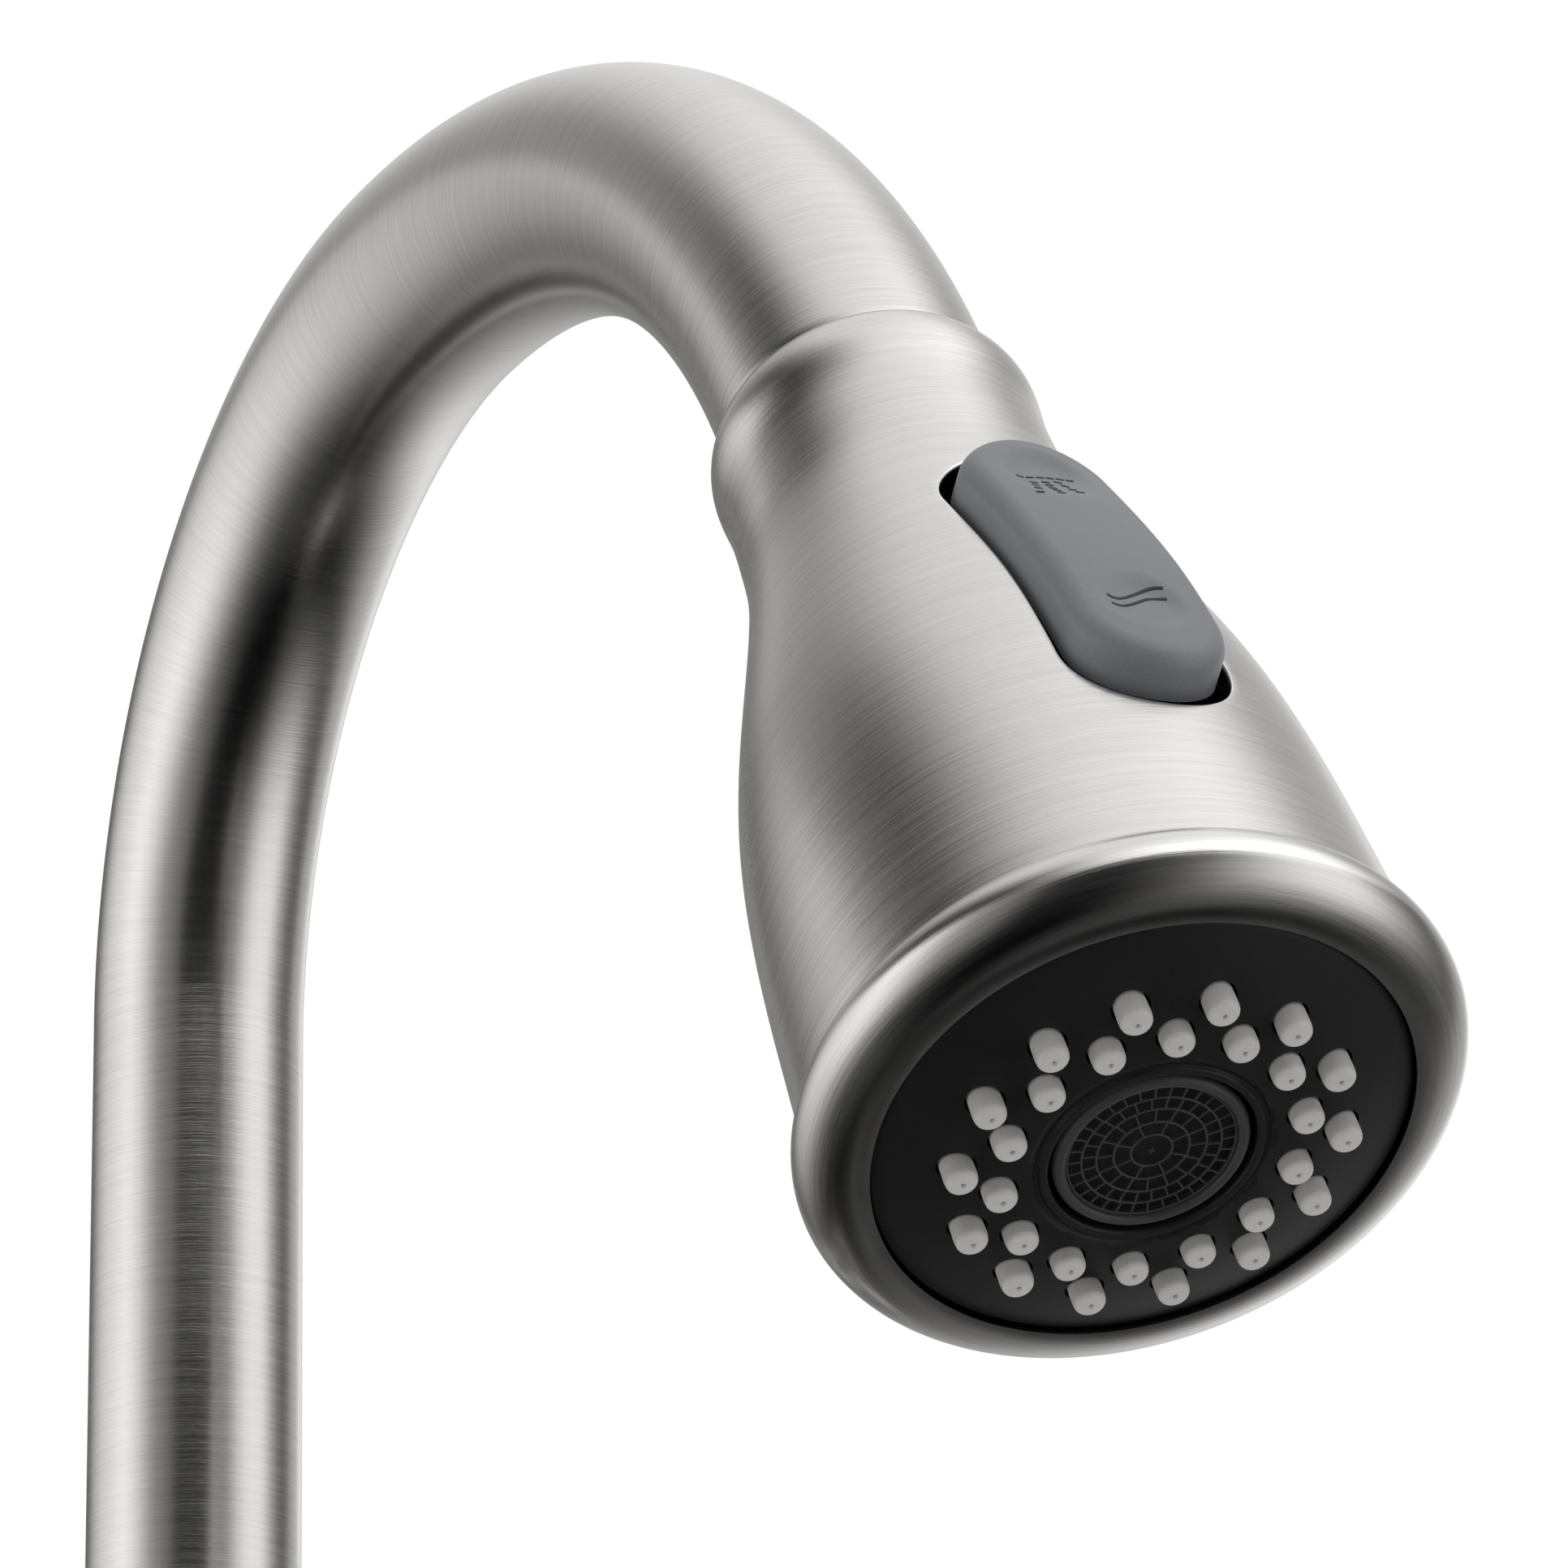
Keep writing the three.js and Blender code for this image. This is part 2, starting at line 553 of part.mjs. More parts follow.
function addFace(group) {
  const front = -HEAD_LEN + FACE_DEPTH;
  const cone = turned([
    [0, -68], [19, -80], [LIP_R - 3.4, front + 8.4], [LIP_R - 3.4, front + 5], [LIP_R - 5.6, front + 5],
    [LIP_R - 5.6, front + 6.6], [OUTLET_R + 1.6, front + 6.6], [OUTLET_R + 1.6, front + 12.4],
    [0, front + 12.4],
  ], 24);
  const bore = rod(3, -100, -60, 12);
  const neck = turned([[0, -62.4], [10.4, -62.4], [10.4, -68], [15, -77], [0, -77]], 20);
  add(group, "spray_cone", cone.add(neck).subtract(bore), blackPlastic);

  const edge = LIP_R - GAP;
  const dome = (r, drop) => [r, front + drop - FACE_BULGE * (1 - ((r - OUTLET_R) / (edge - OUTLET_R)) ** 2)];
  const radii = [OUTLET_R + 0.4, 12, 15, 18, 21, edge];
  const outside = radii.map((r) => dome(r, 0));
  let plate = turned([...outside, ...radii.map((r) => dome(r, 2.6)).reverse(), outside[0]], 32);
  let mat = ring(LIP_R - 4.6, OUTLET_R + 1.4, front + 2.9, front + 4.6, 20);
  eachNozzle((x, y) => {
    plate = plate.subtract(rod(NOZZLE_R + 0.4, front - FACE_BULGE - 1, front + 3, 6).translate([x, y, 0]));
    const tip = turned([
      [0, front - NOZZLE_OUT], [NOZZLE_R * 0.7, front - NOZZLE_OUT],
      [NOZZLE_R, front - NOZZLE_OUT + 0.7], [NOZZLE_R, front + 3.4], [0, front + 3.4],
    ], 6);
    mat = mat.add(tip.translate([x, y, 0]));
  });
  add(group, "face_plate", plate, blackPlastic);
  add(group, "nozzle_mat", mat, silicone);

  const outlet = front - FACE_BULGE;
  const aerator = turned([
    [7.2, outlet + 0.9], [OUTLET_R - 0.9, outlet], [OUTLET_R, outlet + 0.3], [OUTLET_R, front + 11],
    [6.6, front + 11], [6.6, outlet + 3], [7.2, outlet + 2.6], [7.2, outlet + 0.9],
  ], 24);
  add(group, "aerator_shell", aerator, blackPlastic);
  let screen = ring(6.3, 5.5, outlet + 1.2, outlet + 2, 20);
  screen = screen.add(ring(3.4, 2.6, outlet + 1.2, outlet + 2, 12));
  for (let i = 0; i < 3; i += 1) {
    screen = screen.add(box(11.6, 0.6, 0.8, [0, 0, outlet + 1.6]).rotate([0, 0, 60 * i]));
  }
  add(group, "aerator_screen", screen, blackPlastic);
  add(group, "aerator_core", ring(6.2, 1.2, outlet + 2.6, front + 10.4, 20), whitePlastic);
  add(group, "aerator_seal", ring(7.8, 3.2, front + 11.3, front + 12.1, 20), rubber);
}

function eachNozzle(place) {
  for (const [radius, phase] of NOZZLE_RINGS) {
    for (let i = 0; i < NOZZLES; i += 1) {
      const a = ((i + phase) / NOZZLES) * 2 * Math.PI;
      place(radius * Math.cos(a), radius * Math.sin(a));
    }
  }
}

function addRockerSeat(group) {
  const frame = box(15.6, 2.4, 22.6, [0, -9.9, -ROCKER_S]).subtract(box(6, 4, 12, [0, -9.9, -ROCKER_S]));
  const lug = (x) => box(1.6, 8, 4, [x, -14.6, -ROCKER_S]);
  const pinHole = alongX(rod(1, -12, 12, 10)).translate([0, -ROCKER_PIVOT_Y, -ROCKER_S]);
  add(group, "rocker_seat", frame.add(lug(-4.4)).add(lug(4.4)).subtract(pinHole), blackPlastic);
}

function addRocker(group) {
  const proud = bellOutline(-ROCKER_PROUD, 14).map(([s, r]) => [r, -s]);
  const sunk = bellOutline(1.2, 14).map(([s, r]) => [r, -s]);
  const outside = turned([[0, 0], ...proud, [0, -CREASE_S]], 32);
  const inside = turned([[0, 0], ...sunk, [0, -CREASE_S - 1]], 32);
  const cap = outside.subtract(inside).intersect(frontPrism(ROCKER_HALF, ROCKER_W));
  const post = box(5.6, 8.6, 6, [0, -ROCKER_PIVOT_Y - 2.5, -ROCKER_S]);
  const tongue = box(2.2, 9.5, 2.2, [0, -11.25, -ROCKER_S]);
  const pinHole = alongX(rod(1, -12, 12, 10)).translate([0, -ROCKER_PIVOT_Y, -ROCKER_S]);
  add(group, "rocker_button", cap.add(post).add(tongue).subtract(pinHole), slatePlastic);
  const pin = alongX(rod(0.8, -5.6, 5.6, 10)).translate([0, -ROCKER_PIVOT_Y, -ROCKER_S]);
  add(group, "rocker_pin", pin, steel);
}

function addDiverter(group) {
  const middle = -ROCKER_S;
  const spool = turned([
    [0, middle - 10], [2.3, middle - 10], [2.3, middle - 1.8], [1, middle - 1.8], [1, middle + 1.8],
    [2.3, middle + 1.8], [2.3, middle + 10], [0, middle + 10],
  ], 12).translate([0, -5.2, 0]);
  add(group, "diverter_spool", spool, whitePlastic);
}

function addPoppet(group) {
  const poppet = turned([
    [0, -15], [1, -15], [1, -10.2], [3, -10.2], [3, -9.6], [1.6, -8.2], [0, -8.2],
  ], 12);
  add(group, "check_poppet", poppet, whitePlastic);
}

// ---- Assembly ----
addBody(faucet);
const valve = new THREE.Group();
valve.position.z = VALVE_Z;
valve.rotation.y = Math.PI / 2;
faucet.add(valve);
addCartridge(valve);
addMixer(valve);
addLever(valve);
addMovingDisc(valve);
addSpout(faucet);

const head = new THREE.Group();
head.position.copy(seamPoint);
head.rotation.set(ARC_END - Math.PI, 0, HEAD_SPIN);
faucet.add(head);
addDock(head);
addHoseEnd(head);
addShell(head);
addWaterway(head);
addFace(head);
addRockerSeat(head);
addRocker(head);
addDiverter(head);
addPoppet(head);

export default faucet;
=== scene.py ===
"""A pull-down kitchen faucet in brushed nickel: a gooseneck spout on a deck-mounted body, a
bell-shaped spray head with a rocker button, and a side lever.

Lengths in the shape functions are millimetres; Place turns them into metres in the row frame.
"""

import math

import bmesh
import bpy
import numpy as np
from mathutils import Matrix, Vector
from mathutils.geometry import delaunay_2d_cdt


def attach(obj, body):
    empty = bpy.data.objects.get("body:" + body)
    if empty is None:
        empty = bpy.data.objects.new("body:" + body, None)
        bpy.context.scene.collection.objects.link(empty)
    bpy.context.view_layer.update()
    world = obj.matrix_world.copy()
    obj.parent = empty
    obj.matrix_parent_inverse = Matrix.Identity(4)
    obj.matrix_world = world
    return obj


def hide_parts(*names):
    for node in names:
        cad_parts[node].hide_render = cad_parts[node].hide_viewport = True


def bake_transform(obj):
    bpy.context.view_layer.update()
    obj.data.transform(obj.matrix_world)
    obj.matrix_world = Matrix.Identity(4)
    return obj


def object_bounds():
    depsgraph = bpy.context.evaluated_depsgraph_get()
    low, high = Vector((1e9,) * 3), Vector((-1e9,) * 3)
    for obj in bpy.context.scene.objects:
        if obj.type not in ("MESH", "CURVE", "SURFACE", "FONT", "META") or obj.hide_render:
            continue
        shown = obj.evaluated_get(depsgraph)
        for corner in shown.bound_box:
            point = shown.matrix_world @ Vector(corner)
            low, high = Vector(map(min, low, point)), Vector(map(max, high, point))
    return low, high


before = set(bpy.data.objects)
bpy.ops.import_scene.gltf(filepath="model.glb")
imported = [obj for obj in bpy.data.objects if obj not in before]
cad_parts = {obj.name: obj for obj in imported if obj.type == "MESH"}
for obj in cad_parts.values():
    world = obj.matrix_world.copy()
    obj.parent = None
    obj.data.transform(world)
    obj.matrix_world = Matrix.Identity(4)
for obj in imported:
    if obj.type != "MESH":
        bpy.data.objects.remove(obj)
cad_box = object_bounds()

# ---- Sizes, in millimetres ----
TUBE_R, TUBE_WALL, TUBE_FLARE, TUBE_FOOT = 12.0, 1.6, 1.5, 114.0
ARC_Z, RISING_R, FALLING_R, TAIL = 300.0, 65.7, 111.9, 1.5
ARC_END = math.radians(152.3)
HEAD_LEN, SEAM, WALL, LIP_R, RIM_R = 96.0, 0.6, 2.0, 23.9, 29.4
HEAD_SPIN = math.radians(-5)
FACE_DEPTH, FACE_BULGE, NOZZLE_R, NOZZLE_OUT, OUTLET_R = 0.6, 3.0, 1.42, 4.2, 8.6
NOZZLES, NOZZLE_RINGS = 14, ((16.75, 0.47), (13.3, 0.02))
ROCKER_S, ROCKER_HALF, ROCKER_W, ROCKER_PROUD, ROCKER_PIVOT_Y = 50.4, 21.0, 7.1, 3.2, 17.0
ROCKER_LEAN = math.radians(13.5)
BODY_R, BODY_TOP, BOSS_R, BOSS_END, VALVE_Z = 20.5, 150.0, 20.3, 40.0, 70.0
PIVOT, CAP_R, HUB_R, HUB_WALL, HUB_TAPER, STEM_END = 33.0, 21.4, 22.0, 5.0, 2.4, 58.6
LEVER_LEN, SHANK_R, SHANK_END, DECK_T = 98.0, 16.4, -62.0, 20.0
HOSE_R, HOSE_END, HOSE_BREAK, PULL = 6.0, -84.0, -20.0, 400.0
# heights above the seam: the hose's drawn stretch, and where it is held and let go
RUN_START, RUN_END, RUN_HELD, RUN_FREE = 15.0, 27.0, 26.5, 15.5


# ---- Frames ----
def turn_x(a):
    return np.array([[1, 0, 0], [0, math.cos(a), -math.sin(a)], [0, math.sin(a), math.cos(a)]])


def turn_z(a):
    return np.array([[math.cos(a), -math.sin(a), 0], [math.sin(a), math.cos(a), 0], [0, 0, 1]])


class Place:
    """A part's own frame, a turn and an origin. Called on millimetre points, it gives metres in
    the row frame."""

    def __init__(self, turn, origin):
        self.turn, self.origin = turn, np.array(origin, float)

    def __call__(self, points):
        return (np.asarray(points) @ self.turn.T + self.origin) * 0.001


def arc_point(angle):
    """A point of the gooseneck's centre line: a circle of radius RISING_R up to the crown and of
    FALLING_R after it, both level with the crown there."""
    r = np.where(angle > math.pi / 2, FALLING_R, RISING_R)
    y = r * np.cos(angle) - RISING_R
    return np.stack([0 * y, y, ARC_Z + RISING_R + r * (np.sin(angle) - 1)], -1)


def arc_heading(angle):
    return np.stack([0 * angle, -np.sin(angle), np.cos(angle)], -1)


AXIS = arc_heading(np.array(ARC_END))
SEAM_POINT = arc_point(np.array(ARC_END)) + TAIL * AXIS
DECK = Place(np.eye(3), (0, 0, 0))
VALVE = Place(np.array([[0.0, 0, 1], [0, 1, 0], [-1, 0, 0]]), (0, 0, VALVE_Z))
HEAD = Place(turn_x(ARC_END - math.pi) @ turn_z(HEAD_SPIN), SEAM_POINT)


# ---- Camera, light and floor ----
CAMERA_TURN, CAMERA_RISE, CAMERA_ROLL = math.radians(-27.66), math.radians(-22.54), math.radians(-1.62)


def add_camera():
    """Looks up at the head from the front left, from 0.61 m, through a long lens."""
    back = Vector((
        math.sin(CAMERA_TURN) * math.cos(CAMERA_RISE),
        -math.cos(CAMERA_TURN) * math.cos(CAMERA_RISE),
        math.sin(CAMERA_RISE),
    ))
    right = (-back).cross(Vector((0, 0, 1))).normalized()
    up = right.cross(-back)
    c, s = math.cos(CAMERA_ROLL), math.sin(CAMERA_ROLL)
    right, up = c * right + s * up, c * up - s * right
    camera = bpy.data.objects.new("camera", bpy.data.cameras.new("camera"))
    bpy.context.scene.collection.objects.link(camera)
    camera.matrix_world = Matrix((right, up, back)).transposed().to_4x4()
    camera.location = Vector((0, -0.1469, 0.2753)) + 0.609 * back
    camera.data.lens, camera.data.sensor_width = 147.3, 36
    camera.data.clip_start = 0.01
    bpy.context.scene.camera = camera


# ---- Finishes: shader sums written as Python ----
class Sum:
    """A shader socket that takes part in arithmetic: each operator adds one Math node."""

    def __init__(self, finish, socket):
        self.finish, self.socket = finish, socket

    def math(self, operation, *others):
        node = self.finish.node("Math", {"operation": operation}, dict(enumerate([self, *others])))
        return Sum(self.finish, node.outputs[0])

    def __add__(self, other):
        return self.math("ADD", other)

    def __sub__(self, other):
        return self.math("SUBTRACT", other)

    def __mul__(self, other):
        return self.math("MULTIPLY", other)

    def __truediv__(self, other):
        return self.math("DIVIDE", other)

    def __rsub__(self, other):
        node = self.finish.node("Math", {"operation": "SUBTRACT"}, {0: other, 1: self})
        return Sum(self.finish, node.outputs[0])

    __radd__ = __add__
    __rmul__ = __mul__


class Finish:
    """A node tree being painted, for a material or for the world."""

    def __init__(self, name, owner=None):
        self.owner = owner or bpy.data.materials.new(name)
        self.owner.use_nodes = True
        self.tree = self.owner.node_tree
        self.tree.nodes.clear()

    def node(self, kind, settings=None, inputs=None):
        """One node: its settings are set first, then its sockets are given values or links."""
        node = self.tree.nodes.new("ShaderNode" + kind)
        for key, value in (settings or {}).items():
            if key == "stops":
                self.set_stops(node.color_ramp, value)
            else:
                setattr(node, key, value)
        for key, value in (inputs or {}).items():
            if isinstance(value, Sum):
                value = value.socket
            if isinstance(value, bpy.types.NodeSocket):
                self.tree.links.new(value, node.inputs[key])
            else:
                node.inputs[key].default_value = value
        return node

    @staticmethod
    def set_stops(ramp, stops):
        while len(ramp.elements) > 1:
            ramp.elements.remove(ramp.elements[-1])
        for i, (place, level) in enumerate(stops):
            stop = ramp.elements[0] if i == 0 else ramp.elements.new(place)
            stop.position = place
            stop.color = (level, level, level, 1)

    def curve(self, value, stops, scale=1.0):
        """A number that follows straight lines between (place, level) stops."""
        node = self.node("ValToRGB", {"stops": [(p, v / scale) for p, v in stops]}, {"Fac": value})
        return Sum(self, node.outputs[0]) * scale

    def coordinates(self, stretch, turn=(0, 0, 0), brushed=False):
        """Where a pattern is read: the piece's brush attribute, in metres unrolled round it, or
        Object coordinates. Each axis is multiplied by stretch."""
        if brushed:
            source = self.node("Attribute", {"attribute_name": "brush"}).outputs["Vector"]
        else:
            source = self.node("TexCoord").outputs["Object"]
        return self.node("Mapping", {}, {"Vector": source, "Rotation": turn, "Scale": stretch}).outputs[0]

    def noise(self, stretch, detail=2.0, roughness=0.5, turn=(0, 0, 0), brushed=False, distortion=0.0):
        inputs = {
            "Vector": self.coordinates(stretch, turn, brushed), "Scale": 1.0, "Detail": detail,
            "Roughness": roughness, "Distortion": distortion,
        }
        return Sum(self, self.node("TexNoise", {}, inputs).outputs["Fac"])

    def step(self, value, low, high):
        inputs = {"Value": value, "From Min": low, "From Max": high}
        return Sum(self, self.node("MapRange", {"interpolation_type": "SMOOTHSTEP"}, inputs).outputs[0])

    def tint(self, factor, first, second):
        node = self.node("Mix", {"data_type": "RGBA"}, {0: factor, 6: (*first, 1), 7: (*second, 1)})
        return node.outputs[2]

    def bump(self, height, distance, strength=1.0, under=None):
        inputs = {"Height": height, "Distance": distance, "Strength": strength}
        if under is not None:
            inputs["Normal"] = under
        return self.node("Bump", {}, inputs).outputs["Normal"]

    def shade(self, **inputs):
        """The finish's shader. Socket names are written with _ for a space."""
        named = {key.replace("_", " "): value for key, value in inputs.items()}
        if isinstance(named.get("Base Color"), tuple):
            named["Base Color"] = (*named["Base Color"], 1)
        shader = self.node("BsdfPrincipled", {}, named)
        self.node("OutputMaterial", {}, {"Surface": shader.outputs[0]})
        return self.owner


def brushed_nickel():
    """Satin nickel: fine lines round the piece, some crossing in patches, and faint cloudiness."""
    f = Finish("brushed_nickel")
    hair = f.noise((90, 90, 5200), 3, 0.65, brushed=True)
    line = f.noise((45, 45, 1500), 3, 0.6, brushed=True)
    band = f.noise((14, 14, 260), 2, 0.5, brushed=True)
    cross = f.noise((160, 160, 2600), 2, 0.6, turn=(0.35, 0.2, 0), brushed=True)
    patch = f.step(f.noise((38, 38, 38), 2), 0.52, 0.68)
    cloud = f.noise((30, 30, 30), 3, 0.55)
    lines = hair * 0.62 + line * 0.32 + band * 0.06
    grain = lines + patch * (cross - 0.5) * 0.45
    color = f.tint(f.step(grain, 0.28, 0.72), (0.635, 0.62, 0.595), (0.745, 0.735, 0.715))
    roughness = 0.225 + (grain - 0.5) * 0.2 + (cloud - 0.5) * 0.07
    return f.shade(
        Base_Color=color, Metallic=1.0, Roughness=roughness, Normal=f.bump(grain, 0.00005, 0.5),
    )


def turned_metal(name, dark, light, roughness):
    """Plain turned or drawn metal: rings round Z and a cloud of tarnish."""
    f = Finish(name)
    rings = f.noise((60, 60, 2400), 2, 0.6)
    cloud = f.noise((110, 110, 110), 4, 0.6)
    color = f.tint(f.step(cloud, 0.35, 0.7), dark, light)
    wear = roughness + (rings - 0.5) * 0.2 + (cloud - 0.5) * 0.15
    return f.shade(Base_Color=color, Metallic=1.0, Roughness=wear, Normal=f.bump(rings, 0.00004, 0.5))


def moulded(name, dark, light, roughness, grain=6500, depth=0.00003, **more):
    """Moulded plastic or rubber: spark-eroded grain and a faint change of shade."""
    f = Finish(name)
    fine = f.noise((grain, grain, grain), 2, 0.6)
    cloud = f.noise((75, 75, 75), 3, 0.5)
    color = f.tint(fine * 0.5 + cloud * 0.5, dark, light)
    wear = roughness + (fine - 0.5) * 0.12 + (cloud - 0.5) * 0.08
    return f.shade(Base_Color=color, Roughness=wear, Normal=f.bump(fine, depth, 0.6), **more)


def braided():
    """Braided nylon: two sets of strands, crossing, on the hose's own brush attribute."""
    f = Finish("hose_braid")
    at = f.node("SeparateXYZ", {}, {0: f.node("Attribute", {"attribute_name": "weave"}).outputs["Vector"]})
    around, along = Sum(f, at.outputs[0]), Sum(f, at.outputs[1])
    left = (around * 12 + along * 2200).math("SINE")
    right = (around * 12 - along * 2200).math("SINE")
    strand = left.math("MAXIMUM", right)
    color = f.tint(f.step(strand, 0.0, 1.0), (0.012, 0.012, 0.013), (0.10, 0.10, 0.105))
    return f.shade(Base_Color=color, Roughness=0.5, Normal=f.bump(strand, 0.00025, 0.8))


NICKEL = brushed_nickel()
BRASS = turned_metal("brass", (0.42, 0.29, 0.12), (0.70, 0.52, 0.25), 0.36)
STAINLESS = turned_metal("stainless", (0.46, 0.465, 0.47), (0.66, 0.67, 0.68), 0.3)
COPPER = turned_metal("copper", (0.50, 0.23, 0.12), (0.80, 0.44, 0.28), 0.34)
RUBBER = moulded("rubber", (0.015, 0.015, 0.016), (0.035, 0.035, 0.036), 0.78)
BLACK = moulded("black_plastic", (0.006, 0.006, 0.0065), (0.016, 0.016, 0.017), 0.5)
GRATE = moulded("grate_plastic", (0.03, 0.03, 0.031), (0.07, 0.07, 0.071), 0.42)
WHITE = moulded("white_plastic", (0.66, 0.65, 0.61), (0.82, 0.81, 0.77), 0.42)
SLATE = moulded("slate_plastic", (0.185, 0.192, 0.21), (0.275, 0.284, 0.308), 0.42, 4200, 0.00006)
SILICONE = moulded("nozzle_silicone", (0.56, 0.55, 0.525), (0.70, 0.69, 0.665), 0.42, 3500)
CERAMIC = moulded("ceramic", (0.78, 0.76, 0.70), (0.88, 0.86, 0.81), 0.2)
INK = moulded("icon_ink", (0.008, 0.008, 0.009), (0.016, 0.016, 0.018), 0.6)
RED = moulded("index_enamel", (0.30, 0.02, 0.025), (0.42, 0.04, 0.045), 0.25)
BLUE = moulded("index_blue", (0.02, 0.06, 0.30), (0.04, 0.10, 0.42), 0.25)
BRAID = braided()


# ---- Meshes from arrays ----
def grid_faces(rows, columns, wrap_rows=False, start=0):
    """Quads between neighbouring points of a grid whose columns go right round."""
    i = np.arange(rows if wrap_rows else rows - 1)[:, None]
    j = np.arange(columns)[None]
    near, far = i * columns, ((i + 1) % rows) * columns
    turn = (j + 1) % columns
    return start + np.stack([near + j, far + j, far + turn, near + turn], -1).reshape(-1, 4)


class Piece:
    """Collects surfaces, then makes one object of them."""

    def __init__(self):
        self.points, self.brush, self.faces, self.count = [], [], [], 0

    def add(self, points, faces, brush=None):
        points = np.asarray(points).reshape(-1, 3)
        self.faces.append(np.asarray(faces) + self.count)
        self.points.append(points)
        self.brush.append(points if brush is None else np.asarray(brush).reshape(-1, 3))
        self.count += len(points)
        return self

    def grid(self, place, points, brush=None, wrap_rows=False):
        """A grid of points in a place, closed round its columns. Its brush attribute is its own
        millimetre point unless one is given."""
        rows, columns = points.shape[:2]
        own = points if brush is None else brush
        return self.add(place(points), grid_faces(rows, columns, wrap_rows), own * 0.001)

    def make(self, name, body, material, slot, *nodes, weave=None, crease=38):
        faces = [row for block in self.faces for row in block.tolist()]
        mesh = bpy.data.meshes.new(name)
        mesh.from_pydata(np.concatenate(self.points).tolist(), [], faces)
        attribute = mesh.attributes.new("brush", "FLOAT_VECTOR", "POINT")
        attribute.data.foreach_set("vector", np.concatenate(self.brush).astype(np.float32).ravel())
        if weave is not None:
            woven = mesh.attributes.new("weave", "FLOAT_VECTOR", "CORNER")
            woven.data.foreach_set("vector", weave.astype(np.float32).ravel())
        work = bmesh.new()
        work.from_mesh(mesh)
        bmesh.ops.remove_doubles(work, verts=work.verts, dist=2e-6)
        bmesh.ops.recalc_face_normals(work, faces=work.faces)
        work.to_mesh(mesh)
        work.free()
        mesh.shade_smooth()
        mesh.set_sharp_from_angle(angle=math.radians(crease))
        mesh.materials.append(material)
        thing = bpy.data.objects.new(name, mesh)
        bpy.context.scene.collection.objects.link(thing)
        if nodes:
            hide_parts(*nodes)
        if body:
            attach(thing, body)
        return thing


def eased(profile, ease=0.4, steps=6):
    """A profile with its corners rounded: each corner that turns by over 20 degrees becomes the
    quadratic curve from ease before it to ease after it, at most 0.45 of either side. A profile
    that ends where it starts is rounded there too."""
    p = np.asarray(profile, float)
    ring = np.allclose(p[0], p[-1])
    p = p[:-1] if ring else p
    before, after = np.roll(p, 1, 0) - p, np.roll(p, -1, 0) - p
    back, ahead = np.linalg.norm(before, axis=1), np.linalg.norm(after, axis=1)
    before, after = before / back[:, None], after / ahead[:, None]
    gentle = (before * after).sum(1) < -math.cos(math.radians(20))
    size = np.where(gentle, 0, np.minimum(ease, 0.45 * np.minimum(back, ahead)))
    if not ring:
        size[[0, -1]] = 0
    t = np.linspace(0, 1, steps)[None, :, None]
    start, end = p + size[:, None] * before, p + size[:, None] * after
    curve = (1 - t) ** 2 * start[:, None] + 2 * t * (1 - t) * p[:, None] + t**2 * end[:, None]
    curve = np.concatenate([curve[i, :1] if size[i] == 0 else curve[i] for i in range(len(p))])
    return np.concatenate([curve, curve[:1]]) if ring else curve


def turned(profile, sides=96):
    """A surface of revolution: the profile's (radius, height) points carried round Z, so that
    point (i, j) is (r cos a, r sin a, z) with a = 2 pi j / sides."""
    a = np.linspace(0, 2 * math.pi, sides, endpoint=False)
    r, z = np.asarray(profile, float)[:, 0, None], np.asarray(profile, float)[:, 1, None]
    return np.stack([r * np.cos(a), r * np.sin(a), z + 0 * a], -1)


def spline(knots, values):
    """The natural cubic spline through knots, as a function."""
    x, y = np.asarray(knots, float), np.asarray(values, float)
    h = np.diff(x)
    n = len(x)
    left, right = np.eye(n), np.zeros(n)
    k = np.arange(1, n - 1)
    left[k, k - 1], left[k, k], left[k, k + 1] = h[:-1], 2 * (h[:-1] + h[1:]), h[1:]
    right[k] = 6 * (np.diff(y)[1:] / h[1:] - np.diff(y)[:-1] / h[:-1])
    m = np.linalg.solve(left, right)

    def at(s):
        i = np.clip(np.searchsorted(x, s) - 1, 0, n - 2)
        t, u = s - x[i], x[i + 1] - s
        cubic = (m[i] * u**3 + m[i + 1] * t**3) / (6 * h[i])
        return cubic + (y[i] / h[i] - m[i] * h[i] / 6) * u + (y[i + 1] / h[i] - m[i + 1] * h[i] / 6) * t

    return at


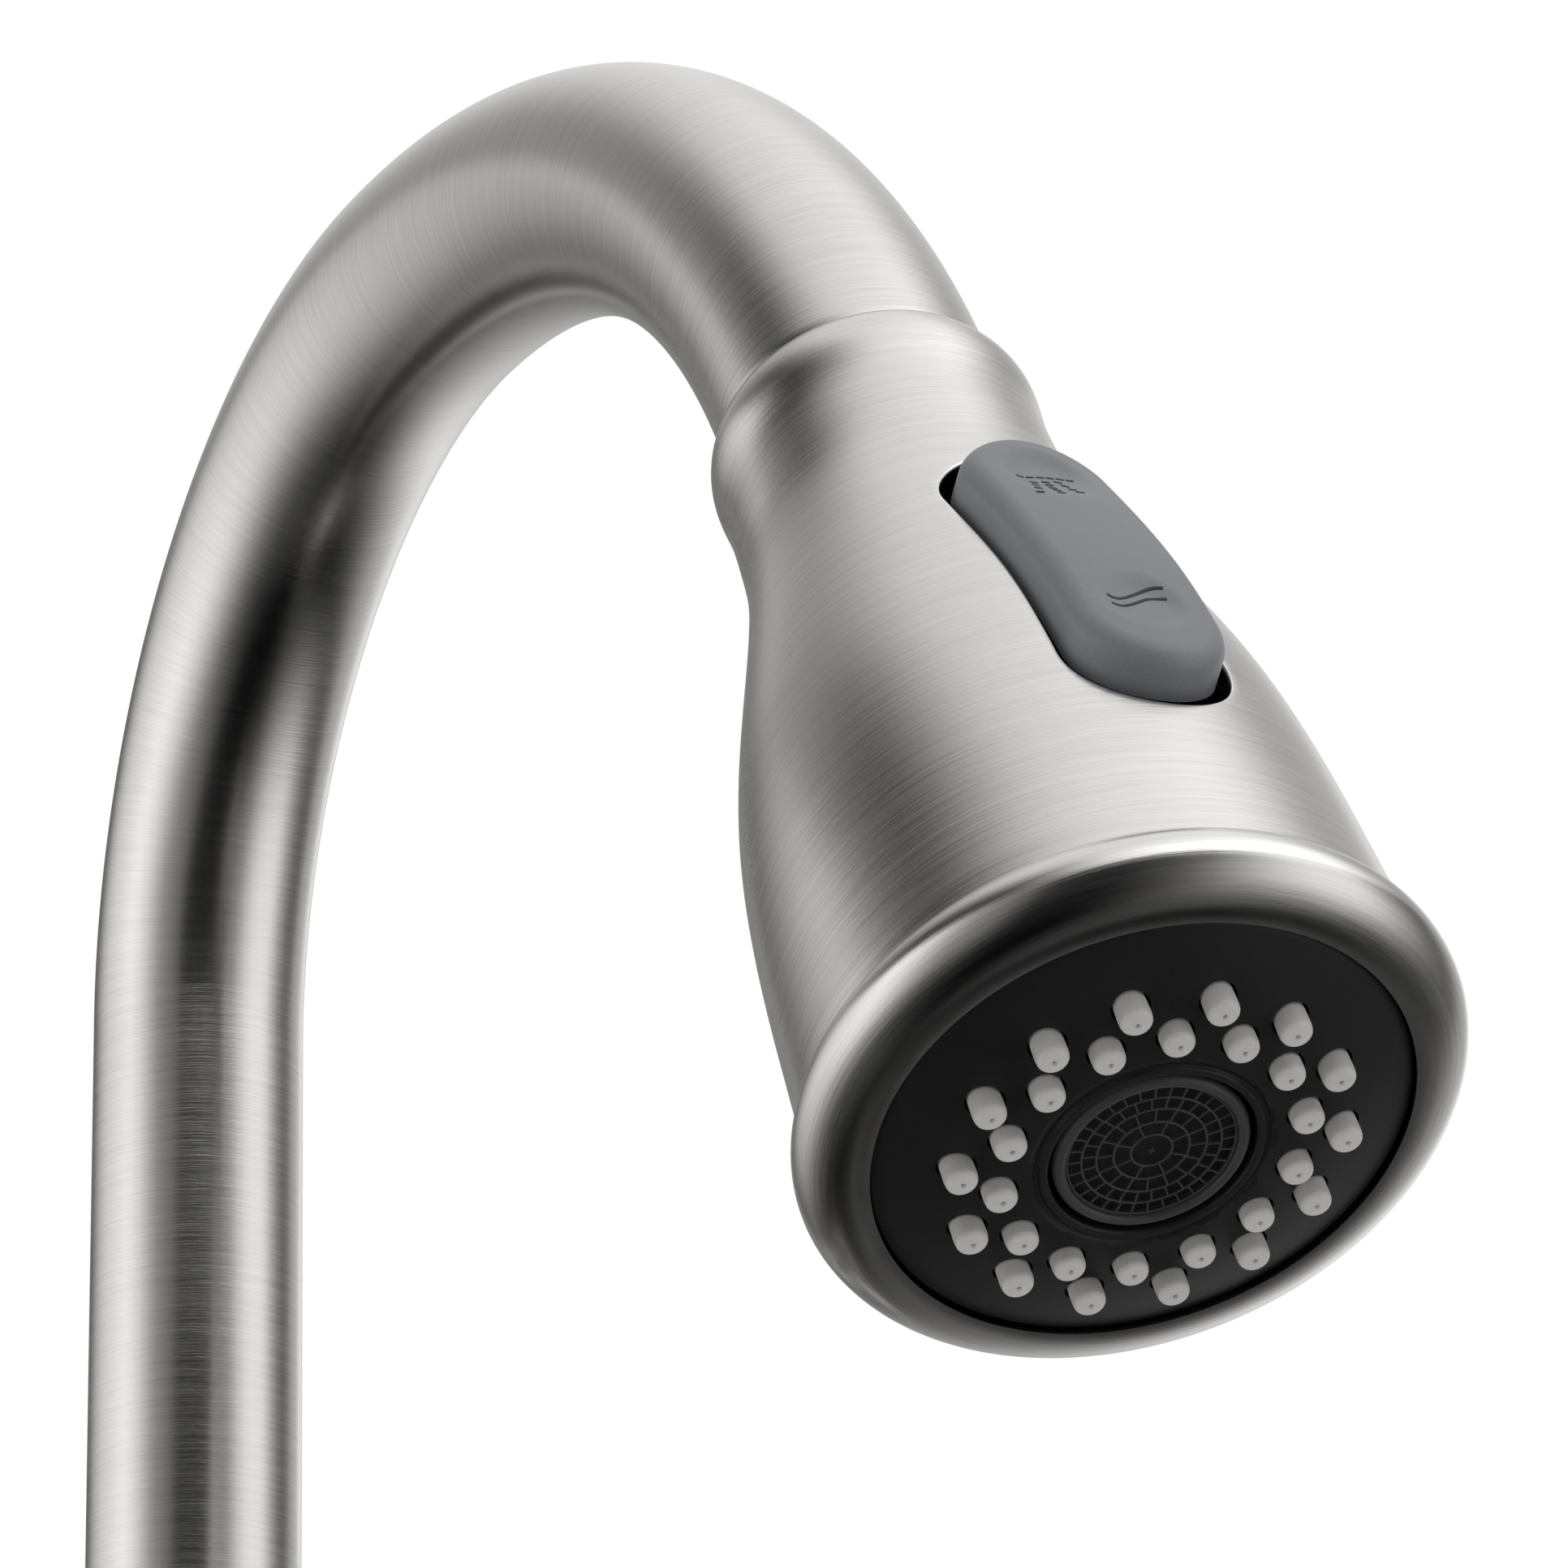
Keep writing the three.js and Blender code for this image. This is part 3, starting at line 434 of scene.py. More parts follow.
# ---- Gooseneck ----
def gooseneck():
    """The tube: a circle carried square to the centre line. Its radius grows evenly with the
    angle of the bend, by TUBE_FLARE in all. The brush runs round it."""
    bend = np.linspace(0, ARC_END, 200)
    riser = np.linspace(TUBE_FOOT, ARC_Z, 90)[:-1]
    zero = 0 * riser
    line = np.concatenate([np.stack([zero, zero, riser], -1), arc_point(bend), [SEAM_POINT]])
    angle = np.concatenate([zero, bend, [ARC_END]])
    heading = arc_heading(angle)
    outward = np.stack([0 * angle, heading[:, 2], -heading[:, 1]], -1)
    along = np.concatenate([[0], np.cumsum(np.linalg.norm(np.diff(line, axis=0), axis=1))])
    radius = TUBE_R + TUBE_FLARE * angle / ARC_END

    a = np.linspace(0, 2 * math.pi, 128, endpoint=False)

    def wall(step, pick, pull=0.0):
        r = (radius + step)[pick, None, None]
        c, s = np.cos(a)[None, :, None], np.sin(a)[None, :, None]
        side = np.array([1.0, 0, 0])
        at = line[pick] - pull * heading[pick]
        points = at[:, None] + r * (c * side + s * outward[pick, None])
        brush = np.stack([
            r[..., 0] * np.cos(a), r[..., 0] * np.sin(a), along[pick, None] - pull + 0 * a,
        ], -1)
        return points, brush

    everywhere = np.arange(len(line))
    rows = [wall(0, everywhere[:-1])]
    lip = [(0.0, 0.35), (-0.05, 0.18), (-0.17, 0.05), (-0.35, 0.0), (-TUBE_WALL + 0.3, 0.0),
           (-TUBE_WALL + 0.1, 0.1), (-TUBE_WALL, 0.4)]
    rows += [wall(step, everywhere[-1:], pull) for step, pull in lip]
    rows += [wall(-TUBE_WALL, everywhere[::-6][1:])]
    points = np.concatenate([p for p, _ in rows])
    brush = np.concatenate([b for _, b in rows])
    tube = Piece().grid(DECK, points, brush, wrap_rows=True)
    tube.make("gooseneck", "spout", NICKEL, "brushed_nickel", "spout_tube")


# ---- Spray head ----
BELL_S = (0, 2.5, 8, 14, 20, 27, 35, 44, 53, 62, 72, 80, 88)
BELL_R = (14.2, 15.5, 15.7, 15.75, 16.2, 17.7, 20.0, 22.6, 24.7, 26.0, 26.8, 27.2, 27.6)
bell = spline(BELL_S, BELL_R)
LEAN_SIN, LEAN_COS = math.sin(ROCKER_LEAN), math.cos(ROCKER_LEAN)
ROCKER_OUT = np.array([0, -LEAN_COS, LEAN_SIN])


def on_bell(a, b, proud=0.0):
    """The point of the bell, grown by proud, that is straight in from the rocker's own flat
    coordinates: a across and b up the head, both from its pin. Its distance s down the head
    solves (pin - sqrt(r(s)^2 - a^2)) sin(lean) + (S - s) cos(lean) = b, by halving."""
    a, b = np.broadcast_arrays(np.asarray(a, float), np.asarray(b, float))
    low, high = np.full(a.shape, 5.0), np.full(a.shape, 88.0)
    for _ in range(42):
        s = (low + high) / 2
        depth = np.sqrt(np.maximum((bell(s) + proud) ** 2 - a**2, 1e-6))
        above = (ROCKER_PIVOT_Y - depth) * LEAN_SIN + (ROCKER_S - s) * LEAN_COS > b
        low, high = np.where(above, s, low), np.where(above, high, s)
    return np.stack([a, -depth, -s], -1)


def stadium(half_width, reach, arc=40, side=56):
    """A slot outline: every point at half_width from a line of half length reach along b."""
    top = np.linspace(0, math.pi, arc, endpoint=False)
    run = np.linspace(-1, 1, side, endpoint=False)
    flat = 0 * run
    c = np.concatenate([np.cos(top), flat - 1, np.cos(top + math.pi), flat + 1])
    s = np.concatenate([np.sin(top), flat, np.sin(top + math.pi), flat])
    middle = np.concatenate([0 * top + reach, -run * reach, 0 * top - reach, run * reach])
    return half_width * c, middle + half_width * s


def toward_slot(a, b, half_width, reach):
    """Where the line from the slot's middle toward (a, b) crosses the slot's outline."""
    length = np.hypot(a, b)
    ca, cb = np.abs(a) / length, np.abs(b) / length
    straight = half_width / np.maximum(ca, 1e-9)
    curved = reach * cb + np.sqrt(np.maximum(half_width**2 - (reach * ca) ** 2, 0))
    t = np.where(straight * cb <= reach, straight, curved) / length
    return a * t, b * t


def bell_wall(shell, inset, first, last):
    """The bell between its ends as a grid over distance s and angle p round from the front,
    with a window: the grid's points round the window are joined to the rocker's slot by rings
    that go evenly from one to the other. Returns the slot's last ring."""
    rows, columns = 115, 240
    s = np.linspace(first, last, rows)[:, None]
    p = (np.arange(columns) - columns // 2) * 2 * math.pi / columns

    def place(s, p):
        r = bell(s) - inset
        return np.stack([r * np.sin(p), -r * np.cos(p), -s + 0 * p], -1)

    top, bottom, left, right = 22, 104, columns // 2 - 30, columns // 2 + 30
    faces = grid_faces(rows, columns).reshape(rows - 1, columns, 4)
    keep = np.ones((rows - 1, columns), bool)
    keep[top:bottom, left:right] = False
    points = place(s, p[None])
    down, across = np.arange(top, bottom), np.arange(left, right)
    edge_i = np.concatenate([0 * across + top, down, 0 * across + bottom, down[::-1] + 1])
    edge_j = np.concatenate([across, 0 * down + right, across[::-1] + 1, 0 * down + left])
    edge_s, edge_p = s[edge_i, 0], p[edge_j]
    at = place(edge_s, edge_p)
    b = (at[:, 1] + ROCKER_PIVOT_Y) * LEAN_SIN + (at[:, 2] + ROCKER_S) * LEAN_COS
    slot_a, slot_b = toward_slot(at[:, 0], b, ROCKER_W + 1.0, ROCKER_HALF - ROCKER_W + 1.2)
    hole = on_bell(slot_a, slot_b, -inset)
    hole_s, hole_p = -hole[:, 2], np.arctan2(hole[:, 0], -hole[:, 1])
    t = np.linspace(0, 1, 16)[:, None]
    rings = place(edge_s + (hole_s - edge_s) * t, edge_p + (hole_p - edge_p) * t)
    shell.add(HEAD(points), faces[keep], points * 0.001)
    shell.grid(HEAD, rings)
    return slot_a, slot_b, points[0], points[-1]


def spray_bell():
    """The head's shell: the bell, the rim's half ellipse, and the same again inside."""
    shell = Piece()
    a, b, outer_top, outer_end = bell_wall(shell, 0.0, 1.1, 87.0)
    _, _, inner_top, inner_end = bell_wall(shell, WALL, 2.0, 86.0)
    # the slot's edge is rounded by a quarter circle, then its wall goes straight in
    curl = np.linspace(0, math.pi / 2, 5)[:, None]
    ease = 0.4
    shrink = 1 - (ease * np.sin(curl)) / np.hypot(a, b)
    outer = on_bell(a * shrink, b * shrink) - ease * (1 - np.cos(curl))[..., None] * ROCKER_OUT
    inner = on_bell(a, b, -WALL)
    shell.grid(HEAD, np.concatenate([outer, inner[None]]))
    # the seam's rounded edge, and the way in to the inner wall
    angle = np.arctan2(outer_top[:, 1], outer_top[:, 0])

    def around(profile):
        profile = np.asarray(profile, float)
        r, z = profile[:, 0, None], profile[:, 1, None]
        return np.stack([r * np.cos(angle), r * np.sin(angle), z + 0 * angle], -1)

    top_r, end_r = np.hypot(*outer_top[0, :2]), np.hypot(*outer_end[0, :2])
    seam = eased([(top_r, outer_top[0, 2]), (14.15, -SEAM), (12.4, -SEAM), (12.4, -1.4),
                  (np.hypot(*inner_top[0, :2]), inner_top[0, 2])], 0.3)
    shell.grid(HEAD, around(seam))
    turn = np.radians(np.linspace(44, -94, 44))
    rim = np.stack([RIM_R - 5.3 + 5.3 * np.cos(turn), 4.1 * (np.sin(turn) + 1) - HEAD_LEN], -1)
    crease = eased([(end_r, outer_end[0, 2]), (end_r + 0.02, 7.1 - HEAD_LEN), rim[0]], 1.2, 8)[1:-1]
    lip = [(LIP_R, -HEAD_LEN + 0.1), (LIP_R, -HEAD_LEN + 4.2),
           (np.hypot(*inner_end[0, :2]), inner_end[0, 2])]
    edge = np.concatenate([[(end_r, outer_end[0, 2])], crease, rim, lip])
    shell.grid(HEAD, around(edge))
    shell.make("spray_bell", "spray_head", NICKEL, "brushed_nickel", "head_shell", crease=50)


def dish_depth(a, b):
    """Two thumb dishes pressed into the rocker's top, each a bowl with its steep side up the
    head: depth * (1 - smoothstep of the distance from its middle)."""
    depth = 0
    for middle, size in ((12.0, 6.2), (-12.8, 4.7)):
        far = np.hypot((a + 0.2) / 4.5, (b - middle) / size)
        x = np.clip((far - 0.45) / 0.55, 0, 1)
        bowl = 1 - x * x * (3 - 2 * x)
        depth = depth + 1.0 * bowl * (0.6 + 0.4 * np.clip((b - middle) / size, -1, 1))
    return depth


def rocker_top(a, b, lift=0.0):
    return on_bell(a, b, ROCKER_PROUD) + (lift - dish_depth(a, b))[..., None] * ROCKER_OUT


def rocker():
    """The rocker: slot-shaped rings from its middle line outward over the dished top, round
    its soft edge, down its wall and back under it."""
    reach, ease, skirt = ROCKER_HALF - ROCKER_W, 1.7, 4.4
    flat_rings, steps = 30, (72, 110)
    curl = np.linspace(0, math.pi / 2, 12)[1:]
    soft_edge = ROCKER_W - ease + ease * np.sin(curl)
    widths = np.concatenate([np.linspace(0, ROCKER_W - ease, flat_rings), soft_edge, [ROCKER_W] * 3])
    drops = np.concatenate([np.zeros(flat_rings), ease * (1 - np.cos(curl)), [2.6, 3.6, skirt]])
    a, b = zip(*[stadium(w, reach, *steps) for w in widths])
    top = rocker_top(np.array(a), np.array(b), -drops[:, None])
    under_a, under_b = zip(*[stadium(w, reach, *steps) for w in (ROCKER_W - 1.2, 3.0, 0.0)])
    under = rocker_top(np.array(under_a), np.array(under_b), np.full((3, 1), -skirt))
    button = Piece().grid(HEAD, np.concatenate([top, under]))
    button.make("rocker", "rocker", SLATE, "slate_plastic", "rocker_button", crease=60)


def strokes(lines, half_width, lift=0.05, steps=9):
    """Thin raised strokes that follow the rocker's top. Each line is a function of t in 0..1
    giving (a, b); the stroke is half_width to either side of it."""
    marks = Piece()
    t = np.linspace(0, 1, steps)
    section = np.array([(-1, -0.3), (-0.8, 1), (0.8, 1), (1, -0.3)])
    for line in lines:
        a, b = line(t)
        da, db = np.gradient(a), np.gradient(b)
        size = np.hypot(da, db)
        a = a[:, None] - (db / size)[:, None] * section[:, 0] * half_width
        b = b[:, None] + (da / size)[:, None] * section[:, 0] * half_width
        points = rocker_top(a, b, lift * section[:, 1] + 0 * a)
        count = steps * 4
        marks.add(HEAD(points), grid_faces(steps, 4))
        ends = np.array([[0, 1, 2, 3], [count - 1, count - 2, count - 3, count - 4]])
        marks.faces.append(ends + marks.count - count)
    return marks


def dash(a, b, lean=0.0, half=0.36):
    """A short straight stroke, centred on (a, b)."""
    def line(t):
        return a + (2 * t - 1) * half, b + (2 * t - 1) * half * lean
    return line


def wave(b):
    """A gentle S across the lower dish."""
    def line(t):
        return -3.4 + 5.8 * t, b + 0.85 * t * t * (3 - 2 * t) * 2 - 0.25 * np.sin(2 * math.pi * t)
    return line


def rocker_marks():
    dots = [dash(-3.0 + 1.0 * k, 11.8 + 0.08 * k) for k in range(6)]
    dots += [dash(-2.2 - 0.24 * k, 10.4 - 1.1 * k) for k in range(4)]
    dots += [dash(-0.95 + 0.04 * k, 10.7 - 0.82 * k, -0.1) for k in range(5)]
    dots += [dash(0.35 + 0.36 * k, 11.0 - 0.88 * k, -0.2) for k in range(4)]
    strokes(dots, 0.19, steps=3).make("spray_mark", "rocker", INK, "slate_plastic")
    strokes([wave(-11.8), wave(-13.1)], 0.19, steps=40).make("stream_mark", "rocker", INK, "slate_plastic")


def nozzle_places():
    """The middles of the nozzles on the face, as an (n, 2) array."""
    turns = [(np.arange(NOZZLES) + phase) * 2 * math.pi / NOZZLES for _, phase in NOZZLE_RINGS]
    return np.concatenate([
        np.stack([r * np.cos(a), r * np.sin(a)], -1) for (r, _), a in zip(NOZZLE_RINGS, turns)
    ])


FRONT = -HEAD_LEN + FACE_DEPTH
FACE_EDGE = LIP_R - 0.3
OUTLET_Z = FRONT - FACE_BULGE


def dome(r):
    """Height of the face at radius r: it bulges by FACE_BULGE toward the outlet, as a parabola."""
    return FRONT - FACE_BULGE * (1 - ((r - OUTLET_R) / (FACE_EDGE - OUTLET_R)) ** 2)


def ring_points(r, count, at=(0, 0)):
    a = np.arange(count) * 2 * math.pi / count
    return np.stack([at[0] + r * np.cos(a), at[1] + r * np.sin(a)], -1)


def loop_edges(start, count):
    i = np.arange(count)
    return np.stack([start + i, start + (i + 1) % count], -1)


def face():
    """The black face: a domed plate pierced for the nozzles, with a wall down each hole, a
    turned edge, and a ringed lip round the outlet. The plate is a triangulation of rings of
    points, less the triangles that fall inside a hole."""
    plate = Piece()
    inner, outer, hole = 10.4, FACE_EDGE - 0.25, NOZZLE_R + 0.3
    centres = nozzle_places()
    holes = [ring_points(hole, 24, at) for at in centres]
    spread = np.concatenate([ring_points(r, int(9 * r)) for r in np.arange(inner + 0.5, outer - 0.3, 0.6)])
    gap = np.linalg.norm(spread[:, None] - centres[None], axis=2).min(1)
    bounds = [ring_points(inner, 96), ring_points(outer, 144), *holes]
    starts = np.cumsum([0] + [len(b) for b in bounds])
    edges = np.concatenate([loop_edges(start, len(b)) for start, b in zip(starts, bounds)])
    flat = np.concatenate([*bounds, spread[gap > hole + 0.25]])
    points, _, faces, *_ = delaunay_2d_cdt([Vector(p) for p in flat.tolist()], edges.tolist(), [], 0, 1e-6)
    points, faces = np.array(points), np.array(faces)
    middle = points[faces].mean(1)
    far = np.hypot(middle[:, 0], middle[:, 1])
    clear = np.linalg.norm(middle[:, None] - centres[None], axis=2).min(1)
    faces = faces[(far > inner * 0.998) & (far < outer) & (clear > hole * 0.995)]
    height = dome(np.hypot(points[:, 0], points[:, 1]))
    plate.add(HEAD(np.column_stack([points, height])), faces)
    depth = np.array([0, 0.1, 0.3, 1.6])[:, None]
    for outline in holes:
        level = dome(np.hypot(outline[:, 0], outline[:, 1])) + depth
        plate.grid(HEAD, np.dstack([outline[None] + 0 * depth[..., None], level]))
    edge = eased([(outer, dome(outer)), (FACE_EDGE, dome(FACE_EDGE) + 0.2), (FACE_EDGE, FRONT + 2.6)], 0.15)
    plate.grid(HEAD, turned(edge, 144))
    lip = eased([
        (inner, dome(inner)), (10.2, dome(inner) + 0.2), (9.95, dome(inner) + 0.2),
        (9.75, OUTLET_Z - 0.15), (9.2, OUTLET_Z - 0.15), (9.05, OUTLET_Z + 0.1), (9.0, OUTLET_Z + 2.6),
    ], 0.12)
    plate.grid(HEAD, turned(lip, 96))
    plate.make("spray_face", "spray_head", BLACK, "black_plastic", "face_plate", crease=30)
    # a black ring behind the plate that closes the ends of the nozzle holes: painted shade, so the gaps round
    # the nozzles read dark
    reach = np.linspace(9.2, LIP_R - 0.6, 20)
    painted_shade_ring = [*zip(reach, dome(reach) + 1.6), *zip(reach[::-1], dome(reach[::-1]) + 2.3), (9.2, dome(9.2) + 1.6)]
    Piece().grid(HEAD, turned(painted_shade_ring, 48)).make("face_painted_shade", "spray_head", BLACK, "black_plastic")


def nozzles():
    """Soft nozzles: each a straight stub whose end is a rounded shoulder, a flat tip and a
    pin hole with a raised edge."""
    tip = FRONT - NOZZLE_OUT
    shoulder = np.linspace(0, math.pi / 2, 8)
    stub = [(0, tip + 4), (NOZZLE_R, tip + 4), (NOZZLE_R + 0.04, tip + 0.9)]
    round_end = [(NOZZLE_R - 0.55 + 0.55 * math.cos(t), tip + 0.6 - 0.6 * math.sin(t)) for t in shoulder]
    hole = [(0.44, tip - 0.02), (0.36, tip - 0.07), (0.27, tip - 0.06), (0.19, tip + 0.12), (0.17, tip + 0.5)]
    one = turned([*stub, *round_end, *hole, (0, tip + 0.5)], 24)
    mat = Piece()
    for x, y in nozzle_places():
        mat.grid(HEAD, one + np.array([x, y, 0]))
    mat.make("nozzles", "spray_head", SILICONE, "nozzle_silicone", "nozzle_mat", crease=60)


def outlet():
    """The stream outlet: a turned ring, and a grate of thin rings joined by staggered bars."""
    ring = eased([
        (7.4, OUTLET_Z + 1.2), (7.5, OUTLET_Z + 0.1), (7.9, OUTLET_Z - 0.15), (8.3, OUTLET_Z),
        (OUTLET_R, OUTLET_Z + 0.4), (OUTLET_R, FRONT + 11), (6.6, FRONT + 11), (6.6, OUTLET_Z + 3),
        (7.4, OUTLET_Z + 2.6), (7.4, OUTLET_Z + 1.2),
    ], 0.25)
    collar = Piece().grid(HEAD, turned(ring, 120))
    collar.make("outlet_ring", "spray_head", GRATE, "black_plastic", "aerator_shell")
    grate = Piece()
    level = OUTLET_Z + 0.5
    rings = (1.8, 3.3, 4.8, 6.1, 7.35)
    a = np.linspace(0, 2 * math.pi, 9)
    for r in rings:
        grate.grid(HEAD, turned(np.stack([r + 0.11 * np.cos(a), level + 0.13 * np.sin(a)], -1), 96))
    for low, high, number, phase in zip(rings, rings[1:], (8, 16, 26, 32), (0.1, 0.3, 0.0, 0.4)):
        grate_bar(grate, low, high, (np.arange(number) + phase) * 2 * math.pi / number, level)
    grate_bar(grate, 0, 0.3, np.arange(4) * math.pi / 2, level)
    grate.make("outlet_grate", "spray_head", GRATE, "black_plastic", "aerator_screen")
    # a black disc just under the grate: painted shade, so the gaps in the grate read dark
    floor = turned([(0, level + 0.45), (7.3, level + 0.45), (7.3, level + 0.8), (0, level + 0.8)], 48)
    Piece().grid(HEAD, floor).make("outlet_painted_shade", "spray_head", BLACK, "black_plastic")


def grate_bar(grate, low, high, a, level):
    """Bars from radius low to high at the angles a, each a box of four corners at two ends."""
    corner = np.array([(-0.07, -0.09), (0.07, -0.09), (0.07, 0.12), (-0.07, 0.12)])
    out = np.stack([np.cos(a), np.sin(a)], -1)
    side = np.stack([-np.sin(a), np.cos(a)], -1)
    flat = [r * out[:, None] + corner[None, :, :1] * side[:, None] for r in (low, high)]
    height = np.broadcast_to(level + corner[:, 1], (len(a), 4))
    ends = [np.concatenate([f, height[..., None]], -1) for f in flat]
    points = np.stack(ends, 1).reshape(-1, 3)
    faces = np.concatenate([grid_faces(2, 4), [[3, 2, 1, 0], [4, 5, 6, 7]]])
    every = (faces[None] + 8 * np.arange(len(a))[:, None, None]).reshape(-1, 4)
    grate.add(HEAD(points), every)


# ---- Turned pieces that repeat their part's own outline ----
def sphere_cap(r, high, low, steps):
    a = np.radians(np.linspace(high, low, steps))
    return [(r * math.sin(t), PIVOT + r * math.cos(t)) for t in a]


def washer(inner, outer, low, high):
    """A flat washer's section, closed on itself."""
    return [(inner, low), (outer, low), (outer, high), (inner, high), (inner, low)]


def turned_pieces():
    under_deck = -DECK_T
    pieces = [
        ("gasket", "deck_gasket", "body", DECK, RUBBER, "rubber", 0.3,
         washer(18.2, 25.5, 0, 1.2)),
        ("flange", "deck_flange", "body", DECK, NICKEL, "brushed_nickel", 0.6,
         [(17.3, 1.5), (27, 1.5), (27, 4.4), (25.8, 6.2), (22.6, 7.2), (22.6, 9.2), (17.3, 9.2),
          (17.3, 1.5)]),
        ("seal_washer", "rubber_washer", "body", DECK, RUBBER, "rubber", 0.4,
         washer(17, 25, under_deck - 3, under_deck)),
        ("backing_washer", "steel_washer", "body", DECK, STAINLESS, "stainless", 0.2,
         washer(17, 24, under_deck - 4.8, under_deck - 3.3)),
        ("swivel_ring", "spout_collar", "spout", DECK, NICKEL, "brushed_nickel", 0.5,
         [(12.3, 150.6), (17.6, 150.6), (18, 152), (17.4, 154), (15.6, 156), (15, 159), (14, 160),
          (12.3, 160), (12.3, 150.6)]),
        ("coupler", "hose_coupler", "spout", DECK, STAINLESS, "stainless", 0.4,
         [(0, -106), (2.6, -106), (2.6, -100), (6.6, -99), (6.6, -93), (6.1, -92.4), (6.1, -90.6),
          (6.6, -90), (6.6, -84.3), (0, -84.3)]),
        ("cold_stub", "cold_inlet", "body", Place(np.eye(3), (7.35, -7.35, 0)), COPPER, "copper", 0.2,
         [(1.1, -68), (2.8, -68), (2.8, 21), (1.7, 21), (1.7, 40), (1.1, 40), (1.1, -68)]),
        ("hot_stub", "hot_inlet", "body", Place(np.eye(3), (7.35, 7.35, 0)), COPPER, "copper", 0.2,
         [(1.1, -73), (2.8, -73), (2.8, 21), (1.7, 21), (1.7, 40), (1.1, 40), (1.1, -73)]),
        ("mixed_stub", "mixed_outlet", "body", Place(np.eye(3), (10.4, 0, 0)), STAINLESS, "stainless", 0.2,
         [(1.1, -78), (2.8, -78), (2.8, 21), (1.7, 21), (1.7, 40), (1.1, 40), (1.1, -78)]),
        ("cap", "valve_cap", "body", VALVE, NICKEL, "brushed_nickel", 0.3,
         [*sphere_cap(CAP_R, 70, 37, 14), *sphere_cap(CAP_R - 2, 37, 68, 10), (17.9, 40.3),
          *sphere_cap(CAP_R, 70, 70, 1)]),
        ("docking_nut", "hose_nut", "hose_end", HEAD, WHITE, "white_plastic", 0.4,
         [(7.9, -12), (9.4, -12), (9.4, 6), (8, 12), (5.4, 12), (5.4, 4), (7.9, 4), (7.9, -12)]),
        ("ferrule", "hose_ferrule", "hose_end", HEAD, STAINLESS, "stainless", 0.3,
         [(3, 4.3), (5.1, 4.3), (5.1, 12.3), (7.1, 12.3), (7.1, 17), (6.8, 17.4), (6.8, 18.6), (7.1, 19),
          (7.1, 27), (6.4, 28), (3, 28), (3, 4.3)]),
        ("dock", "dock_sleeve", "spout", HEAD, BLACK, "black_plastic", 0.2,
         [(10.1, 0.8), (10.9, 0.8), (10.9, 11), (10.1, 11), (10.1, 0.8)]),
    ]
    for name, node, body, place, material, slot, ease, profile in pieces:
        piece = Piece().grid(place, turned(eased(profile, ease), 112))
        piece.make(name, body, material, slot, node)


def column():
    """The body: a turned column, and a round boss that starts on the column's own surface,
    x = sqrt(R^2 - y^2), with a small hollow curve where they meet."""
    outline = eased([
        (13.5, 9.5), (21.8, 9.5), (21.8, 12.5), (BODY_R, 14.5), (BODY_R, 104), (BODY_R - 0.7, 105),
        (BODY_R - 0.7, 107), (BODY_R, 108), (20.2, 118), (19.6, 128), (18.8, BODY_TOP - 3),
        (17.8, BODY_TOP), (13.5, BODY_TOP), (13.5, 9.5),
    ], 0.7)
    body = Piece().grid(DECK, turned(outline, 128))
    a = np.linspace(0, 2 * math.pi, 128, endpoint=False)
    start = np.sqrt(np.maximum(BODY_R**2 - (BOSS_R * np.sin(a)) ** 2, 1.0)) - 0.5
    t = np.linspace(0, 1, 40)[:, None]
    x = start + (BOSS_END - 0.4 - start) * t**1.5
    flare = 2.2 * np.exp(-(x - start) / 1.6) * np.cos(a) ** 2
    barrel = np.stack([(BOSS_R + flare) * np.cos(a), (BOSS_R + flare) * np.sin(a), x], -1)
    ending = [(BOSS_R - 0.1, BOSS_END - 0.1), (BOSS_R - 0.4, BOSS_END), (17.8, BOSS_END),
              (17.6, BOSS_END - 0.3), (17.6, 22), (0, 22)]
    body.grid(VALVE, np.concatenate([barrel, turned(ending, 128)]))
    body.make("body", "body", NICKEL, "brushed_nickel", "body_column")


